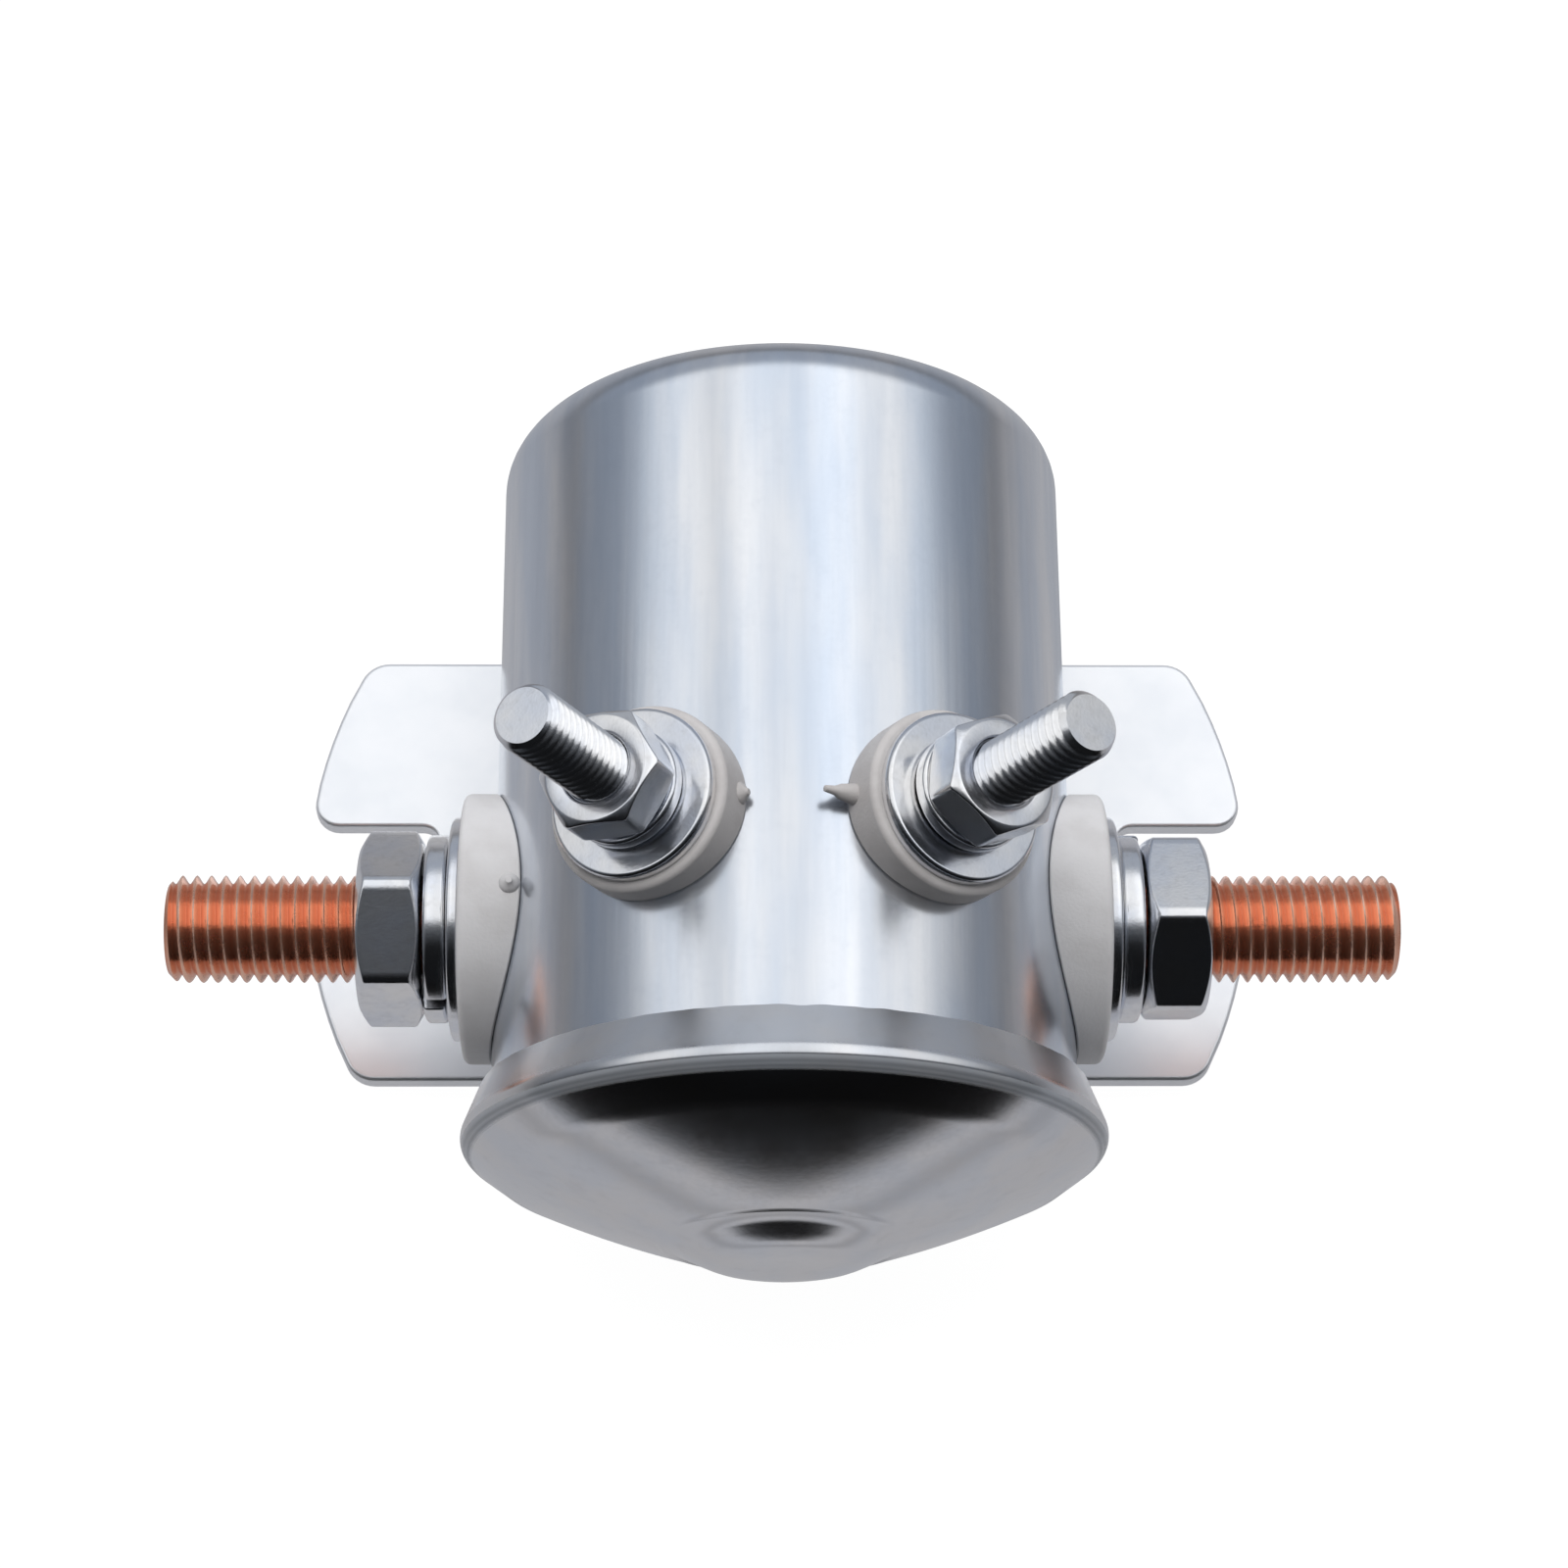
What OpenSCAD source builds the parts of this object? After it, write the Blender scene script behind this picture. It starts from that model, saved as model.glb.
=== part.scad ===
// Four-terminal starter solenoid relay on a flat slotted bracket.
// The part lies on its bracket: +Z leaves the mounting surface, +Y runs along the can
// to its closed end, and +X runs along the two power studs.
// The origin is the centre of the bracket's back face.

/* [Can] */
// Outside diameter of the drawn steel can
can_d = 42.6; // [39:0.1:48]
// Length of the can, from its mouth plane to its closed end
can_len = 55.2; // [52:0.1:64]
// Sheet thickness of the can
can_wall = 0.9; // [0.7:0.05:1.2]
// Outside radius of the edge round the closed end
can_edge_r = 4.25; // [3:0.05:5.5]
// Length of the flare at the can's mouth
flare_len = 2.6; // [2:0.1:3.4]
// How far the flare stands out from the can
flare_out = 1.2; // [0.9:0.05:1.6]

/* [End cap] */
// Sheet thickness of the end cap
cap_wall = 0.8; // [0.6:0.05:1]
// Depth of the cap's cone below the fold
cone_drop = 5.4; // [4.5:0.1:7]
// Radius at which the cone meets the round boss
boss_r = 7.2; // [6.6:0.1:9]
// Height of the round boss beyond the cone
boss_h = 1.1; // [0.7:0.05:1.6]
// Diameter of the dimple pressed into the boss
dimple_d = 8.5; // [7:0.1:9.5]
// Depth of the dimple
dimple_depth = 2.4; // [1.8:0.1:3]

/* [Mounting bracket] */
// Sheet thickness of the bracket
plate_t = 1.6; // [1.2:0.1:2.5]
// Width of the bracket between its round ends
plate_w = 76.6; // [70:0.2:90]
// Height of the bracket along the can
plate_h = 36.2; // [30:0.2:40]
// Distance from the can's mouth plane to the bracket's centre line
plate_centre = 29.2; // [26:0.1:32]
// Width of each open bolt slot
slot_w = 7.0; // [5.5:0.1:9]
// Distance from the bracket's centre to the closed end of each slot
slot_end = 27.7; // [24:0.1:30]
// Corner radius at the closed end of a slot
slot_end_r = 1.3; // [0.6:0.1:2]
// Corner radius at the mouth of a slot
slot_mouth_r = 2.0; // [1:0.1:3]
// Radius of the bracket's outer corners
plate_corner_r = 2.5; // [1.5:0.1:4]
// Diameter of each embossed weld pad
weld_pad_d = 6.0; // [4:0.1:8]
// Distance between the two weld pads
weld_pad_pitch = 20.0; // [14:0.5:26]

/* [Power terminals] */
// Diameter of the copper power studs
power_d = 7.94; // [6.35:0.01:8.5]
// Pitch of the power studs' thread
power_pitch = 1.058; // [0.9:0.001:1.1]
// Distance from the can's mouth plane to the power studs
power_level = 16.0; // [15.4:0.1:16.6]
// Length of stud that stands free outside its nut
power_free = 14.1; // [10:0.05:20]
// Diameter of the outer insulator
power_ins_d = 20.0; // [18:0.1:22]
// Height of the outer insulator above the can wall
power_ins_h = 2.2; // [1.6:0.1:3.2]
// Diameter of the flat washer
power_washer_d = 16.6; // [14.5:0.1:18]
// Thickness of the flat washer
power_washer_t = 0.9; // [0.7:0.05:1.6]
// Outside diameter of the split lock washer
power_lock_d = 13.9; // [12.2:0.1:15]
// Thickness of the split lock washer
power_lock_t = 2.0; // [1.5:0.05:2.4]
// Width across the flats of the nut
power_nut_af = 12.7; // [11:0.1:13]
// Thickness of the nut
power_nut_t = 4.75; // [4:0.05:7]
// Width of the square contact head inside the can
power_head_w = 12.5; // [11:0.1:13.5]
// Thickness of the square contact head
power_head_t = 7.5; // [6:0.1:8.4]

/* [Coil terminals] */
// Diameter of the zinc-plated coil studs
coil_d = 4.8; // [4:0.05:5.2]
// Pitch of the coil studs' thread
coil_pitch = 0.794; // [0.7:0.001:0.9]
// Distance from the can's mouth plane to the coil studs
coil_level = 18.2; // [17:0.1:18.4]
// Turn of the left coil stud from the front of the can
coil_left_turn = 26.1; // [24:0.1:34]
// Turn of the right coil stud from the front of the can
coil_right_turn = 29.6; // [24:0.1:34]
// Length of stud that stands free outside its nut
coil_free = 10.0; // [7:0.1:14]
// Diameter of the outer insulator
coil_ins_d = 13.6; // [12.4:0.1:15]
// Height of the outer insulator above the can wall
coil_ins_h = 2.3; // [1.6:0.1:3]
// Diameter of the flat washer
coil_washer_d = 12.3; // [10:0.1:13]
// Thickness of the flat washer
coil_washer_t = 1.1; // [0.8:0.05:1.5]
// Outside diameter of the split lock washer
coil_lock_d = 8.5; // [7.4:0.1:9.4]
// Thickness of the split lock washer
coil_lock_t = 1.6; // [1.1:0.05:1.8]
// Width across the flats of the nut
coil_nut_af = 8.0; // [7.4:0.1:9]
// Thickness of the nut
coil_nut_t = 3.4; // [2.8:0.1:4.2]

/* [Coil and core] */
// Diameter of the sliding plunger
plunger_d = 11.94; // [10.6:0.02:12.4]
// How far the plunger stands out below the flux plate at rest
plunger_drop = 1.65; // [1.4:0.05:2.4]
// Travel of the plunger from rest until it meets the core
plunger_travel = 2.4; // [2:0.05:2.8]
// Length of the fixed core
core_len = 8.3; // [8:0.1:10]
// Thickness of the steel flux plate
flux_t = 2.0; // [1.5:0.1:2.2]
// Distance from the can's mouth plane to the flux plate
flux_level = 24.6; // [24.3:0.1:25.4]
// Wall of the plunger's guide tube
guide_wall = 0.5; // [0.4:0.05:0.8]
// Thickness of the bobbin's flanges
bobbin_flange_t = 1.2; // [1:0.1:1.8]
// Wall of the bobbin's tube
bobbin_wall = 1.0; // [0.8:0.1:1.4]
// Thickness of the paper wrap round the winding
wrap_t = 0.3; // [0.2:0.05:0.6]
// Diameter of the coil's lead wires
lead_d = 1.1; // [0.8:0.05:1.4]

/* [Contact] */
// Diameter of the copper contact disc
disc_d = 29.0; // [27:0.1:31]
// Thickness of the copper contact disc
disc_t = 1.6; // [1.2:0.1:2]
// Gap that the disc closes on its way to the studs
contact_gap = 1.85; // [1.5:0.05:2]
// Diameter of the rod above its shoulder
rod_d = 5.0; // [4.7:0.1:5.6]
// Diameter of the rod below its shoulder
rod_tip_d = 4.0; // [3.4:0.1:4.2]
// Diameter of the insulating flange and washer on the disc
disc_seat_d = 14.0; // [12:0.1:15]
// Thickness of the insulating flange and washer
disc_seat_t = 1.2; // [0.9:0.1:1.6]
// Distance from the can's mouth plane down to the spring seat's lower face
clip_drop = 3.2; // [2.8:0.1:3.6]

/* [Springs] */
// Wire diameter of the return spring
return_wire = 0.7; // [0.5:0.05:0.9]
// Outside diameter of the return spring
return_d = 6.2; // [5.6:0.1:6.6]
// Turns of the return spring
return_turns = 8; // [6:1:9]
// Wire diameter of the overtravel spring
over_wire = 0.8; // [0.6:0.05:0.9]
// Outside diameter of the overtravel spring
over_d = 7.8; // [7.4:0.1:8.2]
// Turns of the overtravel spring
over_turns = 5; // [4:1:6]

/* [Hidden] */

// Smoothness of round surfaces, of rounded corners and of spring turns
$fn = 96;
corner_steps = 6;
arc_steps = 8;
arc_skip = 2;
turn_steps = 14;
wire_sides = 6;
hex_sides = 6;

// Clearances: between seated faces, round a screw in its nut, for a running fit,
// round a piece that is dropped into place, and the overrun of every cut
seat_gap = 0.05;
nut_gap = 0.05;
running_gap = 0.05;
loose_gap = 0.1;
rest_gap = 0.2;
over = 1;

// The can's radii and the height of its axis above the mounting surface
can_r = can_d / 2;
can_in_r = can_r - can_wall;
can_edge_in_r = can_edge_r - can_wall;
fold_r = 1.2;
rim_clear = 0.6;
rim_seat = 0.05;
rim_r = can_r + flare_out + seat_gap + cap_wall + rim_seat;
axis_h = rim_r + rim_clear;

// The fold of the cap round the flare, and the cap's sloping shoulder and cone
fold_in_r = fold_r - cap_wall;
fold_x = rim_r - fold_r;
fold_level = -0.5;
flare_end = -0.3;
shoulder_run = 1.4;
shoulder_drop = 1.35;
cone_bow = 0.25;
cone_top_x = fold_x - shoulder_run;
cone_top = fold_level - fold_r - shoulder_drop;
cone_end = cone_top - cone_drop;
boss_end = cone_end - boss_h;
boss_lip_r = 1;
dimple_r = dimple_d / 2;
dimple_top = boss_end + dimple_depth;
dimple_floor_share = 0.45;
fold_at = [fold_x, fold_level];
shoulder_turn = touch([cone_top_x, cone_top], fold_at, fold_r, 1);
gasket_w = 1.1;

// The bracket, which the weld pads join to the can
plate_r = plate_w / 2;
pad_r = weld_pad_d / 2;
pad_rise = axis_h - sqrt(can_r * can_r - pad_r * pad_r) - plate_t;
emboss_foot_share = 0.8;
emboss_floor_share = 0.5;

// The threads: depth, width of a groove and mean size as shares of the pitch
thread_depth_share = 0.52;
thread_groove_share = 0.45;
thread_mean_share = 0.325;
thread_run = 0.6;

// Distances from the can's axis along a power stud
power_face = can_r + power_ins_h;
power_lock_in = power_face + power_washer_t;
power_nut_in = power_lock_in + power_lock_t;
power_nut_out = power_nut_in + power_nut_t;
power_tip = power_nut_out + power_free;
power_bush_wall = 1.3;
power_flange_d = 14;
power_flange_t = 1.5;
power_bush_r = power_d / 2 + running_gap + power_bush_wall;
power_flange_in = sqrt(can_in_r * can_in_r - pow(power_flange_d / 2, 2)) - power_flange_t;
power_head_in = power_flange_in - power_head_t;
head_corner_share = 0.66;
power_tip_chamfer = 0.6;
power_split = 1.1;
power_lock_gap = 0.35;
power_lock_r = power_d / 2 + power_lock_gap;
power_left_nut_turn = 9.4;
power_right_nut_turn = 11;
power_left_split_turn = -72;
power_right_split_turn = 118;

// Distances from the can's axis along a coil stud
coil_face = can_r + coil_ins_h;
coil_lock_in = coil_face + coil_washer_t;
coil_nut_in = coil_lock_in + coil_lock_t;
coil_nut_out = coil_nut_in + coil_nut_t;
coil_tip = coil_nut_out + coil_free;
coil_bush_wall = 0.9;
coil_flange_d = 10;
coil_flange_t = 1.2;
coil_bush_r = coil_d / 2 + running_gap + coil_bush_wall;
coil_flange_in = sqrt(can_in_r * can_in_r - pow(coil_flange_d / 2, 2)) - coil_flange_t;
coil_head_d = 8;
coil_head_t = 3;
ring_t = lead_d + seat_gap;
ring_d = 8.6;
coil_tip_chamfer = 0.45;
coil_split = 0.9;
coil_lock_gap = 0.2;
coil_lock_r = coil_d / 2 + coil_lock_gap;
coil_left_nut_turn = 58;
coil_right_nut_turn = 23;
coil_split_turn = 200;

// Moulding nubs on the outer insulators
nub_d = 1.5;
power_nub_len = 0.7;
coil_left_nub_len = 0.6;
coil_right_nub_len = 2.4;
nub_tip_share = 0.5;

// The coil, core and guide tube, measured from the can's mouth plane
top_in = can_len - can_wall;
slide_gap = 0.08;
guide_in_r = plunger_d / 2 + slide_gap;
guide_out_r = guide_in_r + guide_wall;
bobbin_in_r = guide_out_r + seat_gap;
bobbin_tube_r = bobbin_in_r + bobbin_wall;
bobbin_r = can_r - can_edge_r - loose_gap;
bobbin_base = flux_level + flux_t + seat_gap;
bobbin_top = top_in - seat_gap;
winding_r = bobbin_r - wrap_t - 2 * loose_gap;
flux_r = can_in_r - loose_gap;
core_r = guide_in_r - seat_gap;
core_base = top_in - seat_gap - core_len;
pole_gap = 0.2;
plunger_r = plunger_d / 2;
plunger_top = core_base - plunger_travel - pole_gap;
plunger_base = flux_level - plunger_drop;
spring_room = 0.4;
spring_bore_r = return_d / 2 + spring_room;
plunger_pocket = 8;
core_pocket = 5;
tenon_r = rod_tip_d / 2;
tenon_len = 4;
lead_r = lead_d / 2;
notch_room = 1.2;
notch_w = lead_d + notch_room;
notch_depth = 3.2;

// The contact disc and what it carries, measured from the can's mouth plane
contact_level = power_level - power_head_w / 2;
disc_top = contact_level - contact_gap;
disc_base = disc_top - disc_t;
shoulder = disc_top + disc_seat_t + seat_gap;
disc_bush_wall = 2;
disc_bush_r = rod_tip_d / 2 + running_gap + disc_bush_wall;
washer_base = disc_base - disc_seat_t;
rod_tip = dimple_top + cap_wall + rest_gap;
seat_t = 0.6;
clip_t = 0.8;
clip_top = -clip_drop;
seat_margin = 0.7;
seat_d = over_d + seat_margin;
clip_reach = 2;
clip_r = rod_tip_d / 2 + clip_reach;
groove_depth = 0.4;
groove_r = rod_tip_d / 2 - groove_depth;
rod_tip_round = 0.6;

function arc_points(r, from, to, steps) =
    [for (i = [0 : steps]) let (a = from + (to - from) * i / steps) [r * cos(a), r * sin(a)]];

function around(c, r, from, to) = [for (p = arc_points(r, from, to, arc_steps)) c + p];

// The angle round c at which a straight line from p touches the circle of radius r
function touch(p, c, r, side) =
    let (v = p - c)
    atan2(v[1], v[0]) + side * acos(r / norm(v));

// The points of a path, each moved by d to the left of the path
function beside(points, d) =
    let (last = len(points) - 1)
    [for (i = [0 : last])
        let (
            a = points[max(i, 1)] - points[max(i, 1) - 1],
            b = points[min(i + 1, last)] - points[min(i + 1, last) - 1],
            m = [-a[1], a[0]] / norm(a),
            n = [-b[1], b[0]] / norm(b)
        )
        points[i] + d * (m + n) / (1 + m * n)];

// Radius at which a nut's thread and a stud's thread of that diameter and pitch meet
function mean_r(d, pitch) = d / 2 - pitch * thread_mean_share;

// The points that round corner b, between its neighbours a and c, to radius r
function rounded(a, b, c, r) =
    let (
        u = (a - b) / norm(a - b),
        v = (c - b) / norm(c - b),
        half = acos(u * v) / 2,
        centre = b + (u + v) / norm(u + v) * r / sin(half),
        first = b + u * r / tan(half) - centre,
        last = b + v * r / tan(half) - centre,
        a0 = atan2(first[1], first[0]),
        sweep = atan2(first[0] * last[1] - first[1] * last[0], first * last)
    )
    [for (i = [0 : corner_steps]) centre + r * [cos(a0 + sweep * i / corner_steps),
                                               sin(a0 + sweep * i / corner_steps)]];

// One end of the bracket: from the slot's closed end, round the ear, to the straight edge
function ear_points() =
    let (
        half_slot = slot_w / 2,
        half_h = plate_h / 2,
        mouth = asin(half_slot / plate_r),
        edge = asin(half_h / plate_r),
        round_end = arc_points(plate_r, mouth, edge, arc_steps),
        corner = round_end[arc_steps]
    )
    concat(
        rounded([slot_end, 0], [slot_end, half_slot], round_end[0], slot_end_r),
        rounded([slot_end, half_slot], round_end[0], round_end[arc_skip], slot_mouth_r),
        [for (i = [arc_skip : arc_steps - arc_skip]) round_end[i]],
        rounded(round_end[arc_steps - arc_skip], corner, [0, corner[1]], plate_corner_r)
    );

function flipped(points) = [for (i = [len(points) - 1 : -1 : 0]) points[i]];
function mirrored(points, sx, sy) = [for (p = points) [p[0] * sx, p[1] * sy]];

// A coil spring swept as one tube from level a to level b
module coil_spring(mid_r, wire, a, b, turns) {
    rings = turns * turn_steps;
    climb = b - a - wire;
    points = [
        for (i = [0 : rings])
            let (t = 360 * i / turn_steps, z = a + wire / 2 + climb * i / rings)
            for (j = [0 : wire_sides - 1])
                let (s = 360 * j / wire_sides, r = mid_r + wire / 2 * cos(s))
                [r * cos(t), r * sin(t), z + wire / 2 * sin(s)]
    ];
    sides = [
        for (i = [0 : rings - 1], j = [0 : wire_sides - 1])
            let (k = (j + 1) % wire_sides, p = i * wire_sides, q = p + wire_sides)
            each [[p + j, q + k, q + j], [p + j, p + k, q + k]]
    ];
    ends = [
        [for (j = [wire_sides - 1 : -1 : 0]) j],
        [for (j = [0 : wire_sides - 1]) rings * wire_sides + j]
    ];
    polyhedron(points, concat(sides, ends));
}

// Frame of the can: z runs up the can's axis from its mouth plane, -y faces the front
module can_frame() {
    translate([0, -plate_centre, axis_h]) rotate([-90, 0, 0]) children();
}

// Frame of a terminal: z runs out along the stud, y up the can
module terminal_frame(turn, level) {
    can_frame() translate([0, 0, level]) rotate([0, 0, turn]) rotate([90, 0, 0]) children();
}

module power_left() { terminal_frame(-90, power_level) children(); }
module power_right() { terminal_frame(90, power_level) children(); }
module coil_left() { terminal_frame(-coil_left_turn, coil_level) children(); }
module coil_right() { terminal_frame(coil_right_turn, coil_level) children(); }

// The can's outside or inside as a solid in a terminal's frame
module can_core(r, level) {
    rotate([-90, 0, 0]) translate([0, 0, -level - can_len]) cylinder(h = 3 * can_len, r = r);
}

module tube(z0, z1, r0, r1) {
    translate([0, 0, z0]) difference() {
        cylinder(h = z1 - z0, r = r1);
        translate([0, 0, -over]) cylinder(h = z1 - z0 + 2 * over, r = r0);
    }
}

// A stud: plain up to its washers, necked to the thread's mean size through its nut, then the
// free thread as rings at the thread's pitch, with a chamfered end
module stud_shank(from, neck, free, to, d, pitch, chamfer) {
    r = d / 2;
    neck_r = mean_r(d, pitch);
    root_r = r - pitch * thread_depth_share;
    groove = pitch * thread_groove_share;
    rings = floor((to - chamfer - free) / pitch);
    grooves = [
        for (i = [1 : rings])
            let (z = free + i * pitch)
            each [[r, z - groove], [root_r, z - groove / 2], [r, z]]
    ];
    rotate_extrude() polygon(concat(
        [[0, from], [r, from], [r, neck], [neck_r, neck], [neck_r, free], [r, free]],
        grooves,
        [[r, to - chamfer], [r - chamfer, to], [0, to]]
    ));
}

module hex_nut(from, af, t, bore_r, turn) {
    chamfer_turn = 30;
    corner_share = 0.968;
    face_share = 0.95;
    across = af / cos(180 / hex_sides);
    r1 = across / 2 * corner_share;
    r0 = af / 2 * face_share;
    c = (r1 - r0) * tan(chamfer_turn);
    translate([0, 0, from]) difference() {
        intersection() {
            rotate([0, 0, turn]) cylinder(h = t, r = across / 2, $fn = hex_sides);
            rotate_extrude() polygon([[0, 0], [r0, 0], [r1, c], [r1, t - c], [r0, t], [0, t]]);
        }
        translate([0, 0, -over]) cylinder(h = t + 2 * over, r = bore_r);
    }
}

module split_washer(from, t, r0, r1, gap, turn) {
    difference() {
        tube(from, from + t, r0, r1);
        rotate([0, 0, turn]) translate([0, -gap / 2, from - over])
            cube([r1 + over, gap, t + 2 * over]);
    }
}

// A moulded insulator: a disc whose inner side is a saddle on the can, with any nub on its rim
module outer_insulator(level, face, d, bore_r) {
    difference() {
        union() {
            cylinder(h = face, d = d);
            children();
        }
        can_core(can_r + seat_gap, level);
        cylinder(h = face + over, r = bore_r);
    }
}

// A moulding nub on the rim of an insulator, just clear of its saddle
module nub(turn, r, reach) {
    place = sqrt(can_r * can_r - r * r) + nub_d / 2 + seat_gap;
    rotate([0, 0, turn]) translate([r, 0, place]) rotate([0, 90, 0])
        rotate_extrude() polygon([
            [0, -nub_d], [nub_d / 2, -nub_d], [nub_d / 2, reach * nub_tip_share],
            [nub_d / 2 * nub_tip_share, reach], [0, reach]
        ]);
}

// The bush through the can wall, with its flange inside
module inner_bush(level, flange_in, flange_d, bush_r, bore_r, reach) {
    difference() {
        union() {
            intersection() {
                translate([0, 0, flange_in]) cylinder(h = can_r - flange_in, d = flange_d);
                can_core(can_in_r - seat_gap, level);
            }
            translate([0, 0, flange_in]) cylinder(h = reach - flange_in, r = bush_r);
        }
        translate([0, 0, flange_in - over]) cylinder(h = reach - flange_in + 2 * over, r = bore_r);
    }
}

// Outline of the can turned round its axis, without the flare
module can_outline(r, edge_r, top) {
    square([r, top - edge_r]);
    square([r - edge_r, top]);
    translate([r - edge_r, top - edge_r]) intersection() {
        circle(edge_r);
        square(edge_r);
    }
}

module can() color("lightsteelblue") difference() {
    can_frame() rotate_extrude() {
        difference() {
            can_outline(can_r, can_edge_r, can_len);
            translate([0, -over]) can_outline(can_in_r, can_edge_in_r, top_in + over);
            square([can_r + over, flare_len]);
        }
        polygon([
            [can_in_r, flare_len], [can_in_r + flare_out, flare_end],
            [can_r + flare_out, flare_end], [can_r, flare_len]
        ]);
    }
    power_left() cylinder(h = can_d, r = power_bush_r + seat_gap);
    power_right() cylinder(h = can_d, r = power_bush_r + seat_gap);
    coil_left() cylinder(h = can_d, r = coil_bush_r + seat_gap);
    coil_right() cylinder(h = can_d, r = coil_bush_r + seat_gap);
}

// The cap's sheet in half section: band, fold, shoulder, bowed cone, rounded lip and dimple
module end_cap() color("silver") can_frame() rotate_extrude() {
    band_start = [can_r + seat_gap + rim_seat, flare_len];
    band_turn = touch(band_start, fold_at, fold_in_r, -1);
    cone_start = [cone_top_x, cone_top];
    cone_stop = [boss_r, cone_end];
    cone_run = cone_stop - cone_start;
    cone_side = [-cone_run[1], cone_run[0]] / norm(cone_run);
    lip_at = [dimple_r + boss_lip_r, boss_end + boss_lip_r];
    dimple_foot = [dimple_r * dimple_floor_share, dimple_top];
    outside = concat(
        [band_start + cap_wall * [cos(band_turn), sin(band_turn)]],
        around(fold_at, fold_r, band_turn, shoulder_turn),
        [for (i = [0 : arc_steps]) let (t = i / arc_steps)
            cone_start + t * cone_run + 4 * t * (1 - t) * cone_bow * cone_side],
        around(lip_at, boss_lip_r, touch(cone_stop, lip_at, boss_lip_r, -1),
               touch(dimple_foot, lip_at, boss_lip_r, 1) - 360),
        [dimple_foot, [0, dimple_top]]
    );
    polygon(concat(outside, flipped(beside(outside, -cap_wall))));
}

// The seal between the can's mouth and the cap's shoulder
module cap_gasket() color("dimgray") can_frame() rotate_extrude() {
    top = flare_end - seat_gap;
    reach = (fold_in_r - seat_gap) / sin(shoulder_turn);
    rise = gasket_w / tan(shoulder_turn);
    polygon([
        [fold_x - gasket_w, top], [fold_x, top],
        [fold_x, fold_level + reach], [fold_x - gasket_w, fold_level + reach + rise]
    ]);
}

module mounting_bracket() {
    ear = ear_points();
    back = mirrored(ear, -1, 1);
    outline = concat(ear, flipped(back), mirrored(back, 1, -1), flipped(mirrored(ear, 1, -1)));
    color("whitesmoke") difference() {
        union() {
            linear_extrude(plate_t) polygon(outline);
            for (side = [-1, 1])
                translate([0, side * weld_pad_pitch / 2, plate_t / 2])
                    cylinder(h = plate_t / 2 + pad_rise, d = weld_pad_d);
        }
        can_frame() translate([0, 0, -can_len]) cylinder(h = 3 * can_len, r = can_r + seat_gap);
        for (side = [-1, 1])
            translate([0, side * weld_pad_pitch / 2, 0]) rotate_extrude() polygon([
                [0, -over], [pad_r, -over], [pad_r * emboss_foot_share, 0],
                [pad_r * emboss_floor_share, pad_rise], [0, pad_rise]
            ]);
    }
}

// A power stud: a square contact head inside the can and a long threaded shank
module power_stud() color("peru") {
    difference() {
        translate([-power_head_w / 2, -power_head_w / 2, power_head_in])
            cube([power_head_w, power_head_w, power_head_t]);
        for (side = [-1, 1]) rotate([0, 0, 90 + side * 45])
            translate([power_head_w * head_corner_share, -power_head_w, power_head_in - over])
                cube([power_head_w, 2 * power_head_w, power_head_t + 2 * over]);
    }
    stud_shank(power_flange_in - power_head_t / 2, power_face, power_nut_out + thread_run,
               power_tip, power_d, power_pitch, power_tip_chamfer);
}

module power_insulator() color("gainsboro")
    outer_insulator(power_level, power_face, power_ins_d, power_bush_r + seat_gap) children();

module power_insulator_left() power_left()
    power_insulator() nub(0, power_ins_d / 2, power_nub_len);

module power_insulator_right() power_right()
    power_insulator() nub(0, power_ins_d / 2, power_nub_len);

module power_bush() color("linen")
    inner_bush(power_level, power_flange_in + seat_gap, power_flange_d, power_bush_r,
               power_d / 2 + running_gap, power_face - seat_gap);

module power_washer() color("silver")
    tube(power_face, power_lock_in, power_d / 2 + running_gap, power_washer_d / 2);

module power_lock_washer(turn) color("silver")
    split_washer(power_lock_in, power_lock_t, power_lock_r, power_lock_d / 2, power_split, turn);

module power_nut(turn) color("lightsteelblue")
    hex_nut(power_nut_in, power_nut_af, power_nut_t, mean_r(power_d, power_pitch) + nut_gap, turn);

module coil_stud() color("silver") {
    head_out = coil_flange_in - ring_t;
    translate([0, 0, head_out - coil_head_t]) cylinder(h = coil_head_t, d = coil_head_d);
    stud_shank(head_out - coil_head_t / 2, coil_face, coil_nut_out + thread_run,
               coil_tip, coil_d, coil_pitch, coil_tip_chamfer);
}

module coil_insulator() color("gainsboro")
    outer_insulator(coil_level, coil_face, coil_ins_d, coil_bush_r + seat_gap) children();

module coil_insulator_left() coil_left()
    coil_insulator() nub(0, coil_ins_d / 2, coil_left_nub_len);

module coil_insulator_right() coil_right()
    coil_insulator() nub(180, coil_ins_d / 2, coil_right_nub_len);

module coil_bush() color("linen")
    inner_bush(coil_level, coil_flange_in + seat_gap, coil_flange_d, coil_bush_r,
               coil_d / 2 + running_gap, coil_face - seat_gap);

module coil_washer() color("silver")
    tube(coil_face, coil_lock_in, coil_d / 2 + running_gap, coil_washer_d / 2);

module coil_lock_washer(turn) color("silver")
    split_washer(coil_lock_in, coil_lock_t, coil_lock_r, coil_lock_d / 2, coil_split, turn);

module coil_nut(turn) color("lightsteelblue")
    hex_nut(coil_nut_in, coil_nut_af, coil_nut_t, mean_r(coil_d, coil_pitch) + nut_gap, turn);

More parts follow.
